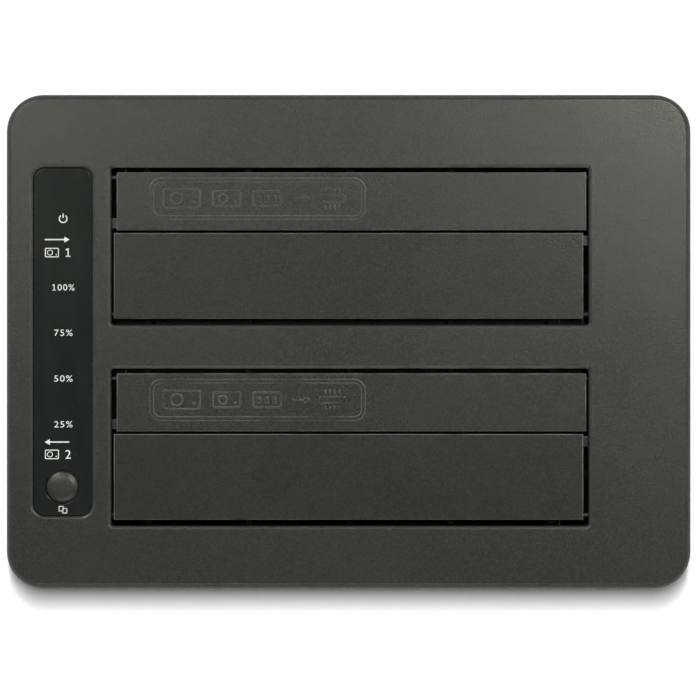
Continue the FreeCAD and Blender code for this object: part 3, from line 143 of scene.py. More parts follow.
# Print on the strip and the rocker: where things stand in mm, with their heights, widths and lines
PRINT_THICKNESS = 0.03
PRINT_SINK = 0.012 * MM
PANEL_FIGURES = (
    ("75%", (-63.55, 2.0), 1.42, 4.1),
    ("50%", (-63.55, -8.2), 1.42, 4.1),
    ("25%", (-63.55, -18.4), 1.42, 4.1),
    ("00%", (-62.95, 12.1), 1.42, 3.75),
    ("2", (-62.5, -25.1), 1.95, None),
)
PANEL_ONES = (((-65.6, 12.1), 1.42, 0.2), ((-62.5, 19.85), 1.95, 0.27))
POWER_AT = (-63.6, 27.4)
POWER_LINE = 0.26
DRIVES_AT = ((-66.1, 19.85), (-66.1, -25.1))
DRIVE_MARK = (3.1, 2.1)
DRIVE_LINE = 0.2
PANEL_ARROWS = (((-67.7, 22.75), (-62.2, 22.75)), ((-62.2, -22.35), (-67.7, -22.35)))
ARROW_LINE = 0.28
ARROW_HEAD = 0.95
SHEETS_AT = ((-64.05, -37.2), (-63.25, -37.65))
SHEET_MARK = (1.1, 1.2, 0.15, 0.17)
ROCKER_BAR = ((0, -1.3), (0, 1.3), 0.45)
ROCKER_RING = ((0, 0), 1.15, 0.42)

# Line drawings on the narrow flaps, in mm. A drive is its case, its disc and its arm's pivot.
FLAP_TOP = 61.7 * MM
RELIEF_FROM_HINGE = 4.8
RELIEF_HEIGHT = 0.3
RELIEF_ROOT = 0.08
RELIEF_LINE = 0.5
RELIEF_EDGE = 0.15
RELIEF_DRIVES = (
    ((-37.2, 8.6, 4.6, 0.8), (-38.3, 1.3, 0.5), (-34.5, -0.9, 0.36)),
    ((-27.2, 6.6, 3.8, 0.7), (-28.0, 0.95, 0.45), (-25.3, -0.7, 0.3)),
)
RELIEF_STORES = (-19.9, -18.2, -16.5)
RELIEF_LEGS = (-5.2, -4.15, -3.1, -2.05)

# Springs and button, in mm. The profile runs from the crown's middle to the foot of the stem.
SPRING_WIRE = 0.3
WIRE_SIDES = 8
SPRING_TURNS = 9
SPRING_STEPS = 20
BUTTON_SIDES = 64
BUTTON_PROFILE = (
    (0.0, 0.0), (1.2, 0.006), (2.0, 0.03), (2.4, 0.072), (2.7, 0.125), (3.0, 0.205), (3.2, 0.282),
    (3.35, 0.358), (3.42, 0.417), (3.45, 0.5), (3.45, 3.25), (4.3, 3.25), (4.3, 4.55),
    (1.6, 4.55), (1.6, 5.75), (0.0, 5.75),
)

# CAD parts whose crisp edges are rounded: how wide, in mm, and in how many steps. Rims come first.
DRESSED = {
    "top_cover": (0.14, 2),
    "base_tray": (0.25, 2),
    "indicator_panel": (0.12, 2),
    "rubber_feet": (0.3, 3),
    "power_rocker": (0.3, 3),
    "power_switch_case": (0.2, 2),
    "power_jack": (0.2, 2),
    "power_jack_pin": (0.1, 2),
    "usb_socket_shell": (0.12, 2),
    "usb_socket_tongues": (0.12, 2),
    "case_screws": (0.12, 2),
    "smoothing_capacitors": (0.2, 2),
}
RIMS = {"top_cover": 0.36}
RIM_STEPS = 3
FINISH_OF = {}
for bay in BAYS:
    DRESSED[f"{bay}_drive_well"] = (0.25, 2)
    DRESSED[f"{bay}_drive_socket"] = (0.2, 2)
    for flap in FLAPS:
        DRESSED[f"{bay}_{flap}_flap"] = (0.1, 2)
        DRESSED[f"{bay}_{flap}_hinge_pin"] = (0.06, 1)
        FINISH_OF[f"{bay}_{flap}_flap"] = f"{flap}_flap"


# ---------------------------------------------------------------- shader maths

class Value:
    """A shader socket. Arithmetic on it adds Math nodes beside it."""

    def __init__(self, nodes, socket):
        self.nodes = nodes
        self.socket = socket

    def maths(self, operation, *terms):
        return self.nodes.add("Math", {"operation": operation}, dict(enumerate(terms)))

    def __add__(self, other):
        return self.maths("ADD", self, other)

    def __radd__(self, other):
        return self.maths("ADD", other, self)

    def __sub__(self, other):
        return self.maths("SUBTRACT", self, other)

    def __rsub__(self, other):
        return self.maths("SUBTRACT", other, self)

    def __mul__(self, other):
        return self.maths("MULTIPLY", self, other)


class Nodes:
    """A shader's nodes, and the few patterns that they draw. Lengths are in metres."""

    def __init__(self, tree, coordinates="Object"):
        self.tree = tree
        self.place = self.add("TexCoord", output=coordinates)

    def add(self, kind, settings=None, sockets=None, output=0):
        node = self.tree.nodes.new("ShaderNode" + kind)
        for name, setting in (settings or {}).items():
            setattr(node, name, setting)
        for name, value in (sockets or {}).items():
            if isinstance(value, Value):
                self.tree.links.new(value.socket, node.inputs[name])
            else:
                node.inputs[name].default_value = value
        return Value(self, node.outputs[output])

    def noise(self, size, detail=2.0, stretch=None):
        place = self.place
        if stretch:
            place = self.add("VectorMath", {"operation": "MULTIPLY"}, {0: place, 1: stretch})
        sockets = {"Vector": place, "Scale": 1 / size, "Detail": detail}
        return self.add("TexNoise", sockets=sockets, output="Fac")

    def cells(self, size, feature="F1"):
        sockets = {"Vector": self.place, "Scale": 1 / size}
        return self.add("TexVoronoi", {"feature": feature}, sockets, "Distance")

    def axis(self, letter):
        return self.add("SeparateXYZ", sockets={0: self.place}, output=letter)

    # The face mark left by rounding and slope marking, where the finishes paint a highlight.
    def edge(self):
        return self.add("Attribute", {"attribute_name": "edge"}, output="Fac")

    def between(self, value, low, high):
        """0 below low, 1 above high, and a smooth step from one to the other."""
        settings = {"interpolation_type": "SMOOTHSTEP", "clamp": True}
        return self.add("MapRange", settings, {"Value": value, "From Min": low, "From Max": high})

    def shade(self, colour, amount):
        """The colour made lighter or darker by a factor that varies."""
        start = colour if isinstance(colour, Value) else colour[:3]
        return self.add("VectorMath", {"operation": "SCALE"}, {0: start, "Scale": amount})

    def mix(self, factor, first, second):
        def solid(colour):
            return colour if isinstance(colour, Value) else (*colour[:3], 1.0)
        return self.add("Mix", {"data_type": "RGBA"}, {0: factor, 6: solid(first), 7: solid(second)}, 2)

    def bump(self, height, depth):
        sockets = {"Height": height, "Distance": depth, "Strength": 1.0}
        return self.add("Bump", sockets=sockets, output="Normal")


class Finish(Nodes):
    """One material."""

    def __init__(self, name):
        self.material = bpy.data.materials.new(name)
        self.material.use_nodes = True
        self.material.node_tree.nodes.clear()
        super().__init__(self.material.node_tree)

    def show(self, shader):
        end = self.tree.nodes.new("ShaderNodeOutputMaterial")
        self.tree.links.new(shader.socket, end.inputs["Surface"])
        return self.material

    def surface(self, sockets):
        return self.show(self.add("BsdfPrincipled", sockets=sockets))


# ---------------------------------------------------------------- finishes

def moulded(name, colour, roughness=0.5, gloss=0.3, grain=0.34 * MM, depth=0.036 * MM, wear=0.5):
    """Spark-eroded plastic: fine grain and faint clouding, with a painted highlight that makes marked edges
    and slopes paler in patches and a little less rough.
    """
    finish = Finish(name)
    cloud = finish.noise(38 * MM, 3.0) - 0.5
    fine = finish.noise(grain, 2.0) - 0.5
    speck = finish.between(finish.noise(0.6 * MM, 1.0), 0.68, 0.76)
    # Painted highlight: faces marked as edges or as lit slopes are made paler, in patches.
    painted_highlight = finish.edge() * finish.between(finish.noise(6 * MM, 3.0), 0.2, 0.6)
    amount = 1 + cloud * 0.22 + fine * 0.55 + speck * 0.3 + painted_highlight * wear
    return finish.surface({
        "Base Color": finish.shade(colour, amount),
        "Roughness": roughness + cloud * 0.1 + fine * 0.24 - speck * 0.05 - painted_highlight * 0.05,
        "Specular IOR Level": gloss,
        "Normal": finish.bump(fine, depth),
    })


def polished(name, colour, roughness=0.15, gloss=0.21):
    """Smooth plastic with faint wipe marks and a slow wave in the surface."""
    finish = Finish(name)
    wave = finish.noise(14 * MM, 1.0) - 0.5
    wipes = finish.noise(3.5 * MM, 4.0, (1.0, 0.22, 1.0)) - 0.5
    dust = finish.between(finish.noise(0.5 * MM, 1.0), 0.74, 0.8)
    return finish.surface({
        "Base Color": finish.shade(colour, 1 + wipes * 0.35 + dust * 1.2),
        "Roughness": roughness + wipes * 0.12 + dust * 0.3,
        "Specular IOR Level": gloss,
        "Normal": finish.bump(wave, 0.04 * MM),
    })


def metal(name, colour, roughness, brush=(1.0, 1.0, 1.0)):
    """Bare or plated metal: drawn or ground lines along one axis, and duller patches."""
    finish = Finish(name)
    lines = finish.noise(0.25 * MM, 3.0, brush) - 0.5
    dull = finish.between(finish.noise(4 * MM, 3.0), 0.45, 0.75)
    return finish.surface({
        # Faces marked as edges are a little lighter: a painted highlight.
        "Base Color": finish.shade(colour, 1 - dull * 0.12 + lines * 0.12 + finish.edge() * 0.08),
        "Metallic": 1.0,
        "Roughness": roughness + dull * 0.14 + lines * 0.1,
        "Normal": finish.bump(lines, 0.004 * MM),
    })


def rubber(name, colour):
    """Dull rubber with fine pores."""
    finish = Finish(name)
    cloud = finish.noise(5 * MM, 3.0) - 0.5
    pores = finish.noise(0.22 * MM, 3.0) - 0.5
    return finish.surface({
        # Faces marked as edges are lighter: a painted highlight.
        "Base Color": finish.shade(colour, 1 + cloud * 0.4 + pores * 0.5 + finish.edge() * 0.3),
        "Roughness": 0.82 + cloud * 0.1,
        "Specular IOR Level": 0.25,
        "Normal": finish.bump(pores, 0.02 * MM),
    })


def laminate(name, colour, copper):
    """Solder mask over etched tracks, with bare tinned pads showing through it."""
    finish = Finish(name)
    tracks = finish.between(finish.cells(3.4 * MM, "DISTANCE_TO_EDGE"), 0.1, 0.06)
    vias = finish.between(finish.cells(2.6 * MM), 0.12, 0.09)
    weave = finish.noise(0.4 * MM, 2.0) - 0.5
    covered = finish.mix(tracks, colour, copper)
    plain = finish.shade(covered, 1 + weave * 0.25 + (finish.noise(20 * MM) - 0.5) * 0.3)
    return finish.surface({
        "Base Color": finish.mix(vias, plain, (0.55, 0.56, 0.55)),
        "Metallic": vias * 0.9,
        "Roughness": 0.32 + weave * 0.1,
        "Specular IOR Level": 0.5,
        "Normal": finish.bump(tracks + vias * 0.5, 0.03 * MM),
    })


def clear(name, colour):
    """Clear acrylic with a faint frosting."""
    finish = Finish(name)
    frost = finish.noise(0.5 * MM, 2.0) - 0.5
    return finish.surface({
        "Base Color": finish.shade(colour, 1 + frost * 0.05),
        "Roughness": 0.16 + frost * 0.12,
        "IOR": 1.49,
        "Transmission Weight": 0.85,
        "Normal": finish.bump(frost, 0.006 * MM),
    })


def ink(name, colour):
    """Screen-printed ink, a little uneven in its cover."""
    finish = Finish(name)
    cover = finish.noise(0.25 * MM, 3.0) - 0.5
    return finish.surface({
        "Base Color": finish.shade(colour, 1 + cover * 0.3),
        "Roughness": 0.55 + cover * 0.2,
        "Specular IOR Level": 0.3,
        "Normal": finish.bump(cover, 0.004 * MM),
    })


def moulding(colour, roughness, gloss, grain, depth, **more):
    """What moulded() needs for a small part, with its grain and depth in mm."""
    return moulded, colour, dict(
        roughness=roughness, gloss=gloss, grain=grain * MM, depth=depth * MM, **more
    )


def all_finishes():
    """A finish for each material slot of the record, for the print and for the two kinds of flap."""
    recipes = {
        # The gain for the edge mark, where a plastic is given one, scales the painted highlight on its
        # marked edges and slopes; the flaps' gains are the strongest.
        "case_plastic": (moulded, CASE_COLOUR, dict(roughness=0.27, gloss=CASE_GLOSS, wear=0.8)),
        "flap_plastic": (moulded, FLAP_COLOUR, dict(roughness=0.34, gloss=FLAP_GLOSS)),
        "narrow_flap": (moulded, FLAP_COLOUR, dict(roughness=0.28, gloss=FLAP_GLOSS, wear=5.0)),
        # The wide flaps' copy is darker than the narrow flaps': painted shade, for less light falling on
        # them.
        "wide_flap": (moulded, (0.0152, 0.0152, 0.0142), dict(roughness=0.28, gloss=0.28, wear=6.5)),
        "print_white": (ink, (0.62, 0.62, 0.58), {}),
        "base_plastic": (moulded, (0.034, 0.034, 0.032), dict(roughness=0.56, grain=0.5 * MM)),
        "well_plastic": (moulded, (0.024, 0.024, 0.024), dict(roughness=0.46, depth=0.02 * MM)),
        "panel_gloss": (polished, (0.0098, 0.0114, 0.0108), {}),
        "button_plastic": moulding((0.0175, 0.0185, 0.0175), 0.3, 0.42, 0.3, 0.004),
        "foot_rubber": (rubber, (0.018, 0.018, 0.018), {}),
        "screw_steel": (metal, (0.52, 0.52, 0.53), dict(roughness=0.3, brush=(1.0, 0.15, 1.0))),
        "pin_steel": (metal, (0.07, 0.07, 0.07), dict(roughness=0.5, brush=(0.05, 1.0, 1.0))),
        "spring_steel": (metal, (0.06, 0.06, 0.06), dict(roughness=0.4)),
        "board_laminate": (laminate, (0.008, 0.06, 0.026), dict(copper=(0.02, 0.12, 0.045))),
        "chip_plastic": moulding((0.016, 0.016, 0.017), 0.6, 0.3, 0.2, 0.006),
        "choke_ferrite": moulding((0.05, 0.05, 0.055), 0.66, 0.3, 0.25, 0.01),
        "can_aluminium": (metal, (0.75, 0.75, 0.76), dict(roughness=0.26, brush=(1.0, 1.0, 0.06))),
        "contact_gold": (metal, (0.83, 0.6, 0.22), dict(roughness=0.22)),
        "port_metal": (metal, (0.7, 0.69, 0.67), dict(roughness=0.2, brush=(1.0, 0.2, 1.0))),
        "port_plastic": moulding((0.016, 0.016, 0.018), 0.42, 0.35, 0.25, 0.004),
        "tongue_plastic": moulding((0.015, 0.08, 0.33), 0.4, 0.4, 0.25, 0.004),
        "light_clear": (clear, (0.93, 0.95, 0.95), {}),
        "light_chip": moulding((0.8, 0.74, 0.45), 0.35, 0.5, 0.3, 0.002, wear=0.1),
        "header_plastic": moulding((0.68, 0.65, 0.56), 0.45, 0.4, 0.3, 0.004, wear=0.1),
        "cable_sheath": (rubber, (0.25, 0.25, 0.26), {}),
        "rocker_plastic": moulding((0.014, 0.014, 0.014), 0.28, 0.45, 0.3, 0.003),
    }
    return {name: make(name, colour, **more) for name, (make, colour, more) in recipes.items()}


# ---------------------------------------------------------------- making pieces

def new_piece(name, shape, material, smooth=None):
    """An object at the origin from a bmesh. Edges sharper than smooth, in degrees, stay crisp."""
    mesh = bpy.data.meshes.new(name)
    shape.to_mesh(mesh)
    shape.free()
    if smooth:
        mesh.shade_smooth()
        mesh.set_sharp_from_angle(angle=math.radians(smooth))
    mesh.materials.append(material)
    piece = bpy.data.objects.new(name, mesh)
    bpy.context.scene.collection.objects.link(piece)
    return piece


def finish_mesh(name, shape, slot, body, material=None, smooth=CRISP_SHADING):
    """A piece that rides on its body, with the finish given, or else its slot's finish."""
    piece = new_piece(name, shape, material or finishes[slot], smooth)
    even = piece.modifiers.new("even_shading", "WEIGHTED_NORMAL")
    even.keep_sharp = True
    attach(piece, body)
    return piece


def soften(shape, edges, width, segments):
    """Round these edges and mark the new faces that look up, where the finish paints a highlight."""
    highlight_mark = shape.faces.layers.float.get("edge") or shape.faces.layers.float.new("edge")
    made = bmesh.ops.bevel(
        shape, geom=edges, offset=width, offset_type="OFFSET", affect="EDGES",
        segments=segments, profile=0.5, material=-1, clamp_overlap=False, loop_slide=True,
    )
    for face in made["faces"]:
        face.normal_update()
        face[highlight_mark] = 1.0 if face.normal.z > UPWARD else 0.0


def sharper(edge, angle):
    return edge.is_manifold and edge.calc_face_angle(0.0) > math.radians(angle)


def mark_highlight_slopes(shape, facing, least, amount, beyond=(-1.0, -1.0)):
    """Mark the slopes that face the rear (1) or the front (-1), where the finish paints a highlight."""
    highlight_mark = shape.faces.layers.float["edge"]
    for face in shape.faces:
        centre = face.calc_center_median()
        reached = centre.x > beyond[0] and centre.y > beyond[1]
        if reached and SLOPES[0] < face.normal.z < SLOPES[1] and face.normal.y * facing > least:
            face[highlight_mark] = amount


def plain_faces(node):
    """A CAD part's shape with its flat faces whole again."""
    shape = bmesh.new()
    shape.from_mesh(frame["nodes"][node].data)
    bmesh.ops.remove_doubles(shape, verts=shape.verts, dist=WELD)
    bmesh.ops.dissolve_limit(
        shape, angle_limit=math.radians(FLAT), verts=shape.verts, edges=shape.edges, delimit={"NORMAL"}
    )
    return shape


def dress(node, width, segments):
    """A CAD part's shape with its crisp edges rounded as a mould or die leaves them."""
    shape = plain_faces(node)
    if node in RIMS:
        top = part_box(node)[1][2] - LEVEL
        rim = [
            edge for edge in shape.edges
            if sharper(edge, SHARP) and all(vertex.co.z > top for vertex in edge.verts)
        ]
        soften(shape, rim, RIMS[node] * MM, RIM_STEPS)
    soften(shape, [edge for edge in shape.edges if sharper(edge, SHARP)], width * MM, segments)
    # Marked for a painted highlight: the flaps' slopes that do not face the front, and the cover's slot
    # edges that face the front.
    if node in FINISH_OF:
        mark_highlight_slopes(shape, 1, *FLAP_HIGHLIGHT)
    if node == "top_cover":
        mark_highlight_slopes(shape, -1, *SLOT_HIGHLIGHT, SLOTS_BEYOND)
    slot = slot_of[node]
    material = finishes[FINISH_OF.get(node, slot)]
    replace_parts(finish_mesh(f"{node}_dressed", shape, slot, body_of[node], material), node)


# ---------------------------------------------------------------- flat artwork

class Artwork:
    """Flat shapes on one face, drawn in mm from its own origin and then raised."""

    def __init__(self):
        self.shape = bmesh.new()

    def bar(self, start, end, width):
        start, end = Vector((*start, 0)), Vector((*end, 0))
        along = end - start
        turn = Matrix.Rotation(math.atan2(along.y, along.x), 4, "Z")
        stretch = Matrix.Diagonal((along.length, width, 1, 1))
        bmesh.ops.create_grid(
            self.shape, x_segments=1, y_segments=1, size=0.5,
            matrix=Matrix.Translation((start + end) / 2) @ turn @ stretch,
        )

    def plate(self, centre, width, height, corner, line=None):
        """A rectangle with round corners, filled or drawn as a line of that width."""
        before = set(self.shape.faces)
        made = bmesh.ops.create_grid(
            self.shape, x_segments=1, y_segments=1, size=0.5,
            matrix=Matrix.Translation((*centre, 0)) @ Matrix.Diagonal((width, height, 1, 1)),
        )
        bmesh.ops.bevel(
            self.shape, geom=made["verts"], offset=corner, offset_type="OFFSET", affect="VERTICES",
            segments=CORNER_STEPS, profile=0.5, material=-1,
        )
        if line:
            faces = [face for face in self.shape.faces if face not in before]
            bmesh.ops.inset_region(
                self.shape, faces=faces, thickness=line, use_even_offset=True, use_boundary=True
            )
            bmesh.ops.delete(self.shape, geom=faces, context="FACES")

    def ring(self, centre, radius, line, start=0.0, sweep=FULL_TURN):
        """An arc of a circle as a line of that width, from an angle in degrees."""
        turn = Matrix.Rotation(math.radians(start), 3, "Z")
        ends = [
            self.shape.verts.new(Vector((*centre, 0)) + turn @ Vector((radius + side * line / 2, 0, 0)))
            for side in (-1, 1)
        ]
        edge = self.shape.edges.new(ends)
        bmesh.ops.spin(
            self.shape, geom=[*ends, edge], cent=(*centre, 0), axis=(0, 0, 1), dvec=(0, 0, 0),
            angle=math.radians(sweep), steps=int(sweep / RING_STEP), use_merge=sweep == FULL_TURN,
            use_duplicate=False,
        )

    def dot(self, centre, radius, sides=20, turn=0.0):
        bmesh.ops.create_circle(
            self.shape, cap_ends=True, segments=sides, radius=radius,
            matrix=Matrix.Translation((*centre, 0)) @ Matrix.Rotation(math.radians(turn), 4, "Z"),
        )

    def arrow(self, start, end, line, size):
        """A straight arrow whose head is a triangle of that size."""
        along = (Vector(end) - Vector(start)).normalized()
        neck = Vector(end) - along * size * 1.2
        self.bar(start, neck, line)
        heading = math.degrees(math.atan2(along.y, along.x))
        head = size * 0.8
        self.dot(Vector(end) - along * head, head, 3, heading - 90)

    def figures(self, text, centre, height, width=None):
        """Upright figures of that height, spread to a width if one is given."""
        data = bpy.data.curves.new("figures", "FONT")
        data.body = text
        data.space_character = FIGURE_SPACING
        data.resolution_u = FIGURE_STEPS
        carrier = bpy.data.objects.new("figures", data)
        bpy.context.scene.collection.objects.link(carrier)
        bpy.context.view_layer.update()
        graph = bpy.context.evaluated_depsgraph_get()
        made = bpy.data.meshes.new_from_object(carrier.evaluated_get(graph))
        bpy.data.objects.remove(carrier)
        low = Vector(min(vertex.co[axis] for vertex in made.vertices) for axis in range(3))
        high = Vector(max(vertex.co[axis] for vertex in made.vertices) for axis in range(3))
        upward = height / (high.y - low.y)
        across = width / (high.x - low.x) if width else upward
        grow = Matrix.Diagonal((across, upward, 1, 1))
        made.transform(Matrix.Translation((*centre, 0)) @ grow @ Matrix.Translation(-(low + high) / 2))
        self.shape.from_mesh(made)
        bpy.data.meshes.remove(made)

    def raised(self, thickness, place, edge=0.0):
        """The shapes as a solid of that thickness, set on a place. The upper rim may be rounded."""
        bmesh.ops.remove_doubles(self.shape, verts=self.shape.verts, dist=DRAWN_WELD)
        up = [face for face in self.shape.faces if face.normal.z < 0]
        bmesh.ops.reverse_faces(self.shape, faces=up)
        top = bmesh.ops.extrude_face_region(self.shape, geom=self.shape.faces[:], use_keep_orig=True)
        moved = [item for item in top["geom"] if isinstance(item, bmesh.types.BMVert)]
        bmesh.ops.translate(self.shape, verts=moved, vec=(0, 0, thickness))
        bmesh.ops.recalc_face_normals(self.shape, faces=self.shape.faces)
        if edge:
            top = thickness - DRAWN_WELD
            rim = [
                line for line in self.shape.edges
                if sharper(line, SHARP_PRINT) and all(vertex.co.z > top for vertex in line.verts)
            ]
            soften(self.shape, rim, edge, 2)
        bmesh.ops.transform(self.shape, verts=self.shape.verts, matrix=place @ Matrix.Scale(MM, 4))
        return self.shape


def button_cap():
    """The button, turned: a nearly flat crown, a rounded shoulder, a collar and a stem."""
    low, high = (Vector(corner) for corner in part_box("copy_button"))
    centre = (low + high) / 2
    shape = bmesh.new()
    points = [
        shape.verts.new((centre.x + radius * MM, centre.y, high.z - drop * MM))
        for radius, drop in BUTTON_PROFILE
    ]
    edges = [shape.edges.new(pair) for pair in zip(points, points[1:])]
    bmesh.ops.spin(
        shape, geom=points + edges, cent=centre, axis=(0, 0, 1), dvec=(0, 0, 0), angle=math.tau,
        steps=BUTTON_SIDES, use_merge=True, use_duplicate=False,
    )
    bmesh.ops.remove_doubles(shape, verts=shape.verts, dist=WELD)
    bmesh.ops.recalc_face_normals(shape, faces=shape.faces)
    cap = finish_mesh("copy_button_cap", shape, "button_plastic", "copy_button", smooth=CRISP_TURNED)
    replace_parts(cap, "copy_button")


def panel_print():
    """White print on the glossy strip: power, drive and progress marks."""
    top = Matrix.Translation((0, 0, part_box("indicator_panel")[1][2] - PRINT_SINK))
    numbers = Artwork()
    for text, centre, height, width in PANEL_FIGURES:
        numbers.figures(text, centre, height, width)
    for centre, height, line in PANEL_ONES:
        one(numbers, centre, height, line)
    marks = Artwork()
    power_mark(marks, POWER_AT)
    for centre in DRIVES_AT:
        drive_mark(marks, centre, *DRIVE_MARK)
    for start, end in PANEL_ARROWS:
        marks.arrow(start, end, ARROW_LINE, ARROW_HEAD)
    for centre in SHEETS_AT:
        marks.plate(centre, *SHEET_MARK)
    for name, artwork in (("panel_numbers", numbers), ("panel_marks", marks)):
        shape = artwork.raised(PRINT_THICKNESS, top)
        finish_mesh(name, shape, "panel_gloss", "case", finishes["print_white"])


def one(artwork, centre, height, line):
    """A figure 1 with its flag and foot."""
    x, y = centre
    half = height / 2
    foot = y - half + line / 2
    artwork.bar((x, y - half), (x, y + half), line)
    artwork.bar((x - height * 0.27, y + half * 0.55), (x - line * 0.4, y + half * 0.92), line * 0.9)
    artwork.bar((x - height * 0.26, foot), (x + height * 0.26, foot), line)


def power_mark(artwork, centre):
    """A ring open at the top, with a bar in the gap."""
    x, y = centre
    artwork.ring(centre, 0.85, POWER_LINE, 125, 290)
    artwork.bar((x, y + 0.15), (x, y + 1.15), POWER_LINE)


def drive_mark(artwork, centre, width, height):
    """A bare drive seen from above: its case, its disc and the arm's pivot."""
    x, y = centre
    artwork.plate(centre, width, height, 0.25, DRIVE_LINE)
    artwork.ring((x - width * 0.14, y), height * 0.27, DRIVE_LINE * 0.8)
    artwork.dot((x + width * 0.31, y - height * 0.22), DRIVE_LINE * 0.7, 12)


def border_reliefs():
    """Raised line drawings of what the bays take: two hard drives, a solid-state one and a chip."""
    for bay in BAYS:
        low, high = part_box(f"{bay}_narrow_hinge_pin")
        y = (low[1] + high[1]) / 2 / MM - RELIEF_FROM_HINGE
        drawing = Artwork()
        for (x, *case), (disc_x, *disc), (arm_x, arm_y, arm) in RELIEF_DRIVES:
            drawing.plate((x, y), *case, RELIEF_LINE)
            drawing.ring((disc_x, y), *disc)
            drawing.dot((arm_x, y + arm_y), arm)
        drawing.plate((-18.2, y), 6.6, 3.8, 0.7, RELIEF_LINE)
        for x in RELIEF_STORES:
            drawing.plate((x, y), 0.95, 1.5, 0.15)
        drawing.arrow((-12.6, y), (-8.4, y), RELIEF_LINE, 1.35)
        drawing.plate((-3.6, y), 6.0, 1.9, 0.5, RELIEF_LINE)
        for x in RELIEF_LEGS:
            for low_end, high_end in ((-2.35, -1.35), (1.35, 2.35)):
                drawing.bar((x, y + low_end), (x, y + high_end), 0.42)
        place = Matrix.Translation((0, 0, FLAP_TOP - RELIEF_ROOT * MM))
        shape = drawing.raised(RELIEF_HEIGHT + RELIEF_ROOT, place, RELIEF_EDGE)
        body = f"{bay}_narrow_flap"
        finish_mesh(f"{bay}_flap_relief", shape, "flap_plastic", body, finishes["narrow_flap"])


# ---------------------------------------------------------------- springs

def hinge_springs():
    """Wound wire springs. One leg bears on the cover and the other under the flap."""
    for bay in BAYS:
        for flap in FLAPS:
            hinge_spring(bay, flap)


def hinge_spring(bay, flap):
    """A coil round the pin between two straight legs. It twists with the flap."""
    node = f"{bay}_{flap}_flap_spring"
    low, high = (Vector(corner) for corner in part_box(node))
    pin_low, pin_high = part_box(f"{bay}_{flap}_hinge_pin")
    axis_y = (pin_low[1] + pin_high[1]) / 2
    axis_z = (low.z + high.z) / 2
    wire = SPRING_WIRE * MM
    radius = (high.z - low.z) / 2 - wire / 2
    inward = 1 if flap == "narrow" else -1
    outer, inner = (low.x, high.x) if inward > 0 else (high.x, low.x)
    first, last = outer + inward * wire / 2, inner - inward * wire / 2
    shape = bmesh.new()
    start = Vector((first, high.y, axis_z - radius))
    made = bmesh.ops.create_circle(
        shape, cap_ends=False, segments=WIRE_SIDES, radius=wire / 2,
        matrix=Matrix.Translation(start) @ Matrix.Rotation(math.radians(90), 4, "X"),
    )
    rim = list({edge for vertex in made["verts"] for edge in vertex.link_edges})
    rim = extend(shape, rim, (0, axis_y - high.y, 0))
    steps = SPRING_TURNS * SPRING_STEPS
    spun = bmesh.ops.spin(
        shape, geom=rim, cent=(first, axis_y, axis_z), axis=(-1, 0, 0),
        dvec=((last - first) / steps, 0, 0), angle=math.tau * SPRING_TURNS, steps=steps,
        use_merge=False, use_duplicate=False,
    )
    rim = [item for item in spun["geom_last"] if isinstance(item, bmesh.types.BMEdge)]
    extend(shape, rim, (0, low.y - axis_y, 0))
    bmesh.ops.holes_fill(shape, edges=[edge for edge in shape.edges if edge.is_boundary], sides=0)
    bmesh.ops.recalc_face_normals(shape, faces=shape.faces)
    spring = new_piece(f"{node}_wound", shape, finishes["spring_steel"], CRISP_TURNED)
    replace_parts(spring, node)
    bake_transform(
        spring, "case", f"{bay}_{flap}_flap",
        start=(first + inward * wire, axis_y, axis_z), end=(last - inward * wire, axis_y, axis_z),
    )


def extend(shape, rim, along):
    """Draw a tube on from its open rim, and return the new rim."""
    made = bmesh.ops.extrude_edge_only(shape, edges=rim)
    ends = [item for item in made["geom"] if isinstance(item, bmesh.types.BMVert)]
    bmesh.ops.translate(shape, verts=ends, vec=along)
    chosen = set(ends)
    return [edge for edge in shape.edges if edge.verts[0] in chosen and edge.verts[1] in chosen]


def rocker_marks():
    """I and O on the two faces of the rocker."""
    rocker = plain_faces("power_rocker")
    rear = [face for face in rocker.faces if face.normal.y > REARWARD]
    faces = sorted(rear, key=lambda face: -face.calc_area())[:2]
    faces.sort(key=lambda face: face.calc_center_median().x)
    for name, face in zip(("off", "on"), faces):
        outward = face.normal.copy()
        upright = (Vector((0, 0, 1)) - outward * outward.z).normalized()
        across = upright.cross(outward)
        place = Matrix((across, upright, outward)).transposed().to_4x4()
        place = Matrix.Translation(face.calc_center_median() - outward * PRINT_SINK) @ place
        mark = Artwork()
        if name == "on":
            mark.bar(*ROCKER_BAR)
        else:
            mark.ring(*ROCKER_RING)
        shape = mark.raised(PRINT_THICKNESS, place)
        white = finishes["print_white"]
        finish_mesh(f"rocker_{name}_mark", shape, "rocker_plastic", "power_rocker", white)
    rocker.free()


def keep_nodes():
    """CAD parts shown as they are get their slot's finish."""
    for name, node in frame["nodes"].items():
        node.data.materials.clear()
        node.data.materials.append(finishes[slot_of[name]])


# ---------------------------------------------------------------- setting

def seen_ray(finish):
    """1 for rays that show the background to the eye, directly, mirrored or through glass."""
    eye_ray, mirror_ray, glass_ray = (
        finish.add("LightPath", output=f"Is {kind} Ray") for kind in ("Camera", "Glossy", "Transmission")
    )
    return eye_ray.maths("MAXIMUM", eye_ray.maths("MAXIMUM", eye_ray, mirror_ray), glass_ray)


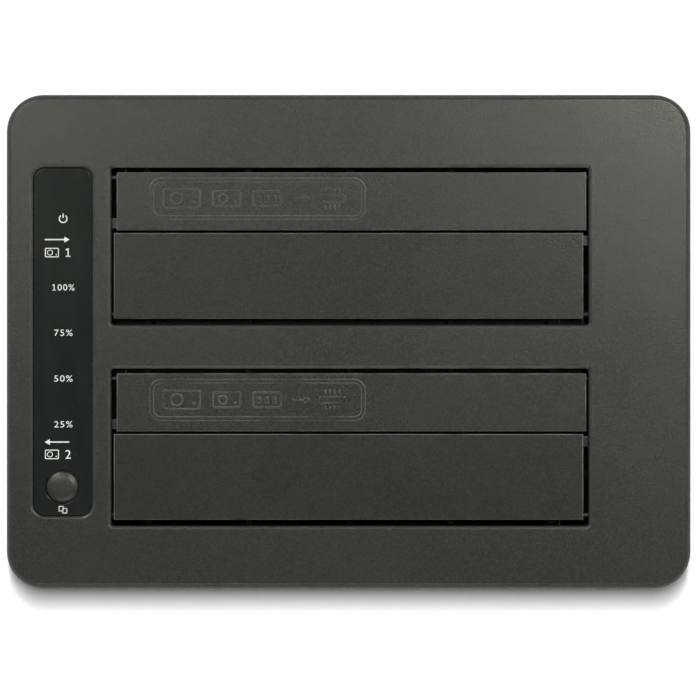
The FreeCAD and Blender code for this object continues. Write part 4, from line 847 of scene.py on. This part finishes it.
def floor():
    """Pale floor. Past the lamps' reach it stays white to the eye."""
    shape = bmesh.new()
    bmesh.ops.create_grid(shape, x_segments=1, y_segments=1, size=FLOOR_REACH)
    bmesh.ops.translate(shape, verts=shape.verts, vec=(0, 0, -FLOOR_GAP))
    finish = Finish("floor_paint")
    grain = finish.noise(0.8, 2.0) - 0.5
    distance = finish.add("VectorMath", {"operation": "LENGTH"}, {0: finish.place}, "Value")
    glow = seen_ray(finish) * finish.between(distance, *LAMP_REACH)
    pale = finish.add("BsdfDiffuse", sockets={"Color": finish.shade(FLOOR_COLOUR, 1 + grain * 0.02)})
    white = finish.add("Emission", sockets={"Color": (1, 1, 1, 1), "Strength": glow})
    paint = finish.show(finish.add("AddShader", sockets={0: pale, 1: white}))
    new_piece("floor", shape, paint)


def area_light(name, place, size, power, colour=(1, 1, 1)):
    data = bpy.data.lights.new(name, "AREA")
    data.shape = "RECTANGLE"
    data.size, data.size_y = size
    data.energy = power
    data.color = colour
    lamp = bpy.data.objects.new(name, data)
    lamp.location = place
    lamp.rotation_euler = (Vector(LAMP_AIM) - Vector(place)).to_track_quat("-Z", "Y").to_euler()
    bpy.context.scene.collection.objects.link(lamp)
    return lamp


def lights():
    """A strip overhead lights everything. Lamps above and softboxes round the sides only add sheen."""
    area_light("overhead_strip", *OVERHEAD_STRIP).visible_glossy = False
    for name, place, size, power in SHEEN_LAMPS:
        area_light(name, place, size, power, SHEEN_COLOUR).visible_diffuse = False


def surroundings():
    """Dim ceiling and a white backdrop round the horizon."""
    world = bpy.data.worlds.new("studio")
    world.use_nodes = True
    bpy.context.scene.world = world
    backdrop = Nodes(world.node_tree, "Generated")
    level = 1 - backdrop.between(backdrop.axis("Z"), *HORIZON)
    strength = CEILING + seen_ray(backdrop) * (1 - CEILING) * level
    background = world.node_tree.nodes["Background"].inputs
    world.node_tree.links.new(strength.socket, background["Strength"])
    background["Color"].default_value = (1, 1, 1, 1)


def camera():
    """Straight above the top of the case."""
    data = bpy.data.cameras.new("camera")
    data.sensor_width = SENSOR
    data.lens = SENSOR * CAMERA_HEIGHT / VIEW_WIDTH
    eye = bpy.data.objects.new("camera", data)
    eye.location = (*VIEW_CENTRE, cad_box[1][2] - CROWN_OVER_TOP + CAMERA_HEIGHT)
    bpy.context.scene.collection.objects.link(eye)
    bpy.context.scene.camera = eye


# ---------------------------------------------------------------- the object

finishes = all_finishes()
slot_of = {part["node"]: part["material_slot"] for part in frame["record"]["subparts"]}
body_of = {
    node: body for body, nodes in frame["record"]["behaviour"]["bodies"].items() for node in nodes
}

keep_nodes()
for node, (width, segments) in DRESSED.items():
    dress(node, width, segments)
button_cap()
panel_print()
border_reliefs()
hinge_springs()
rocker_marks()
floor()
lights()
surroundings()
camera()

bpy.context.scene.view_settings.view_transform = "Standard"
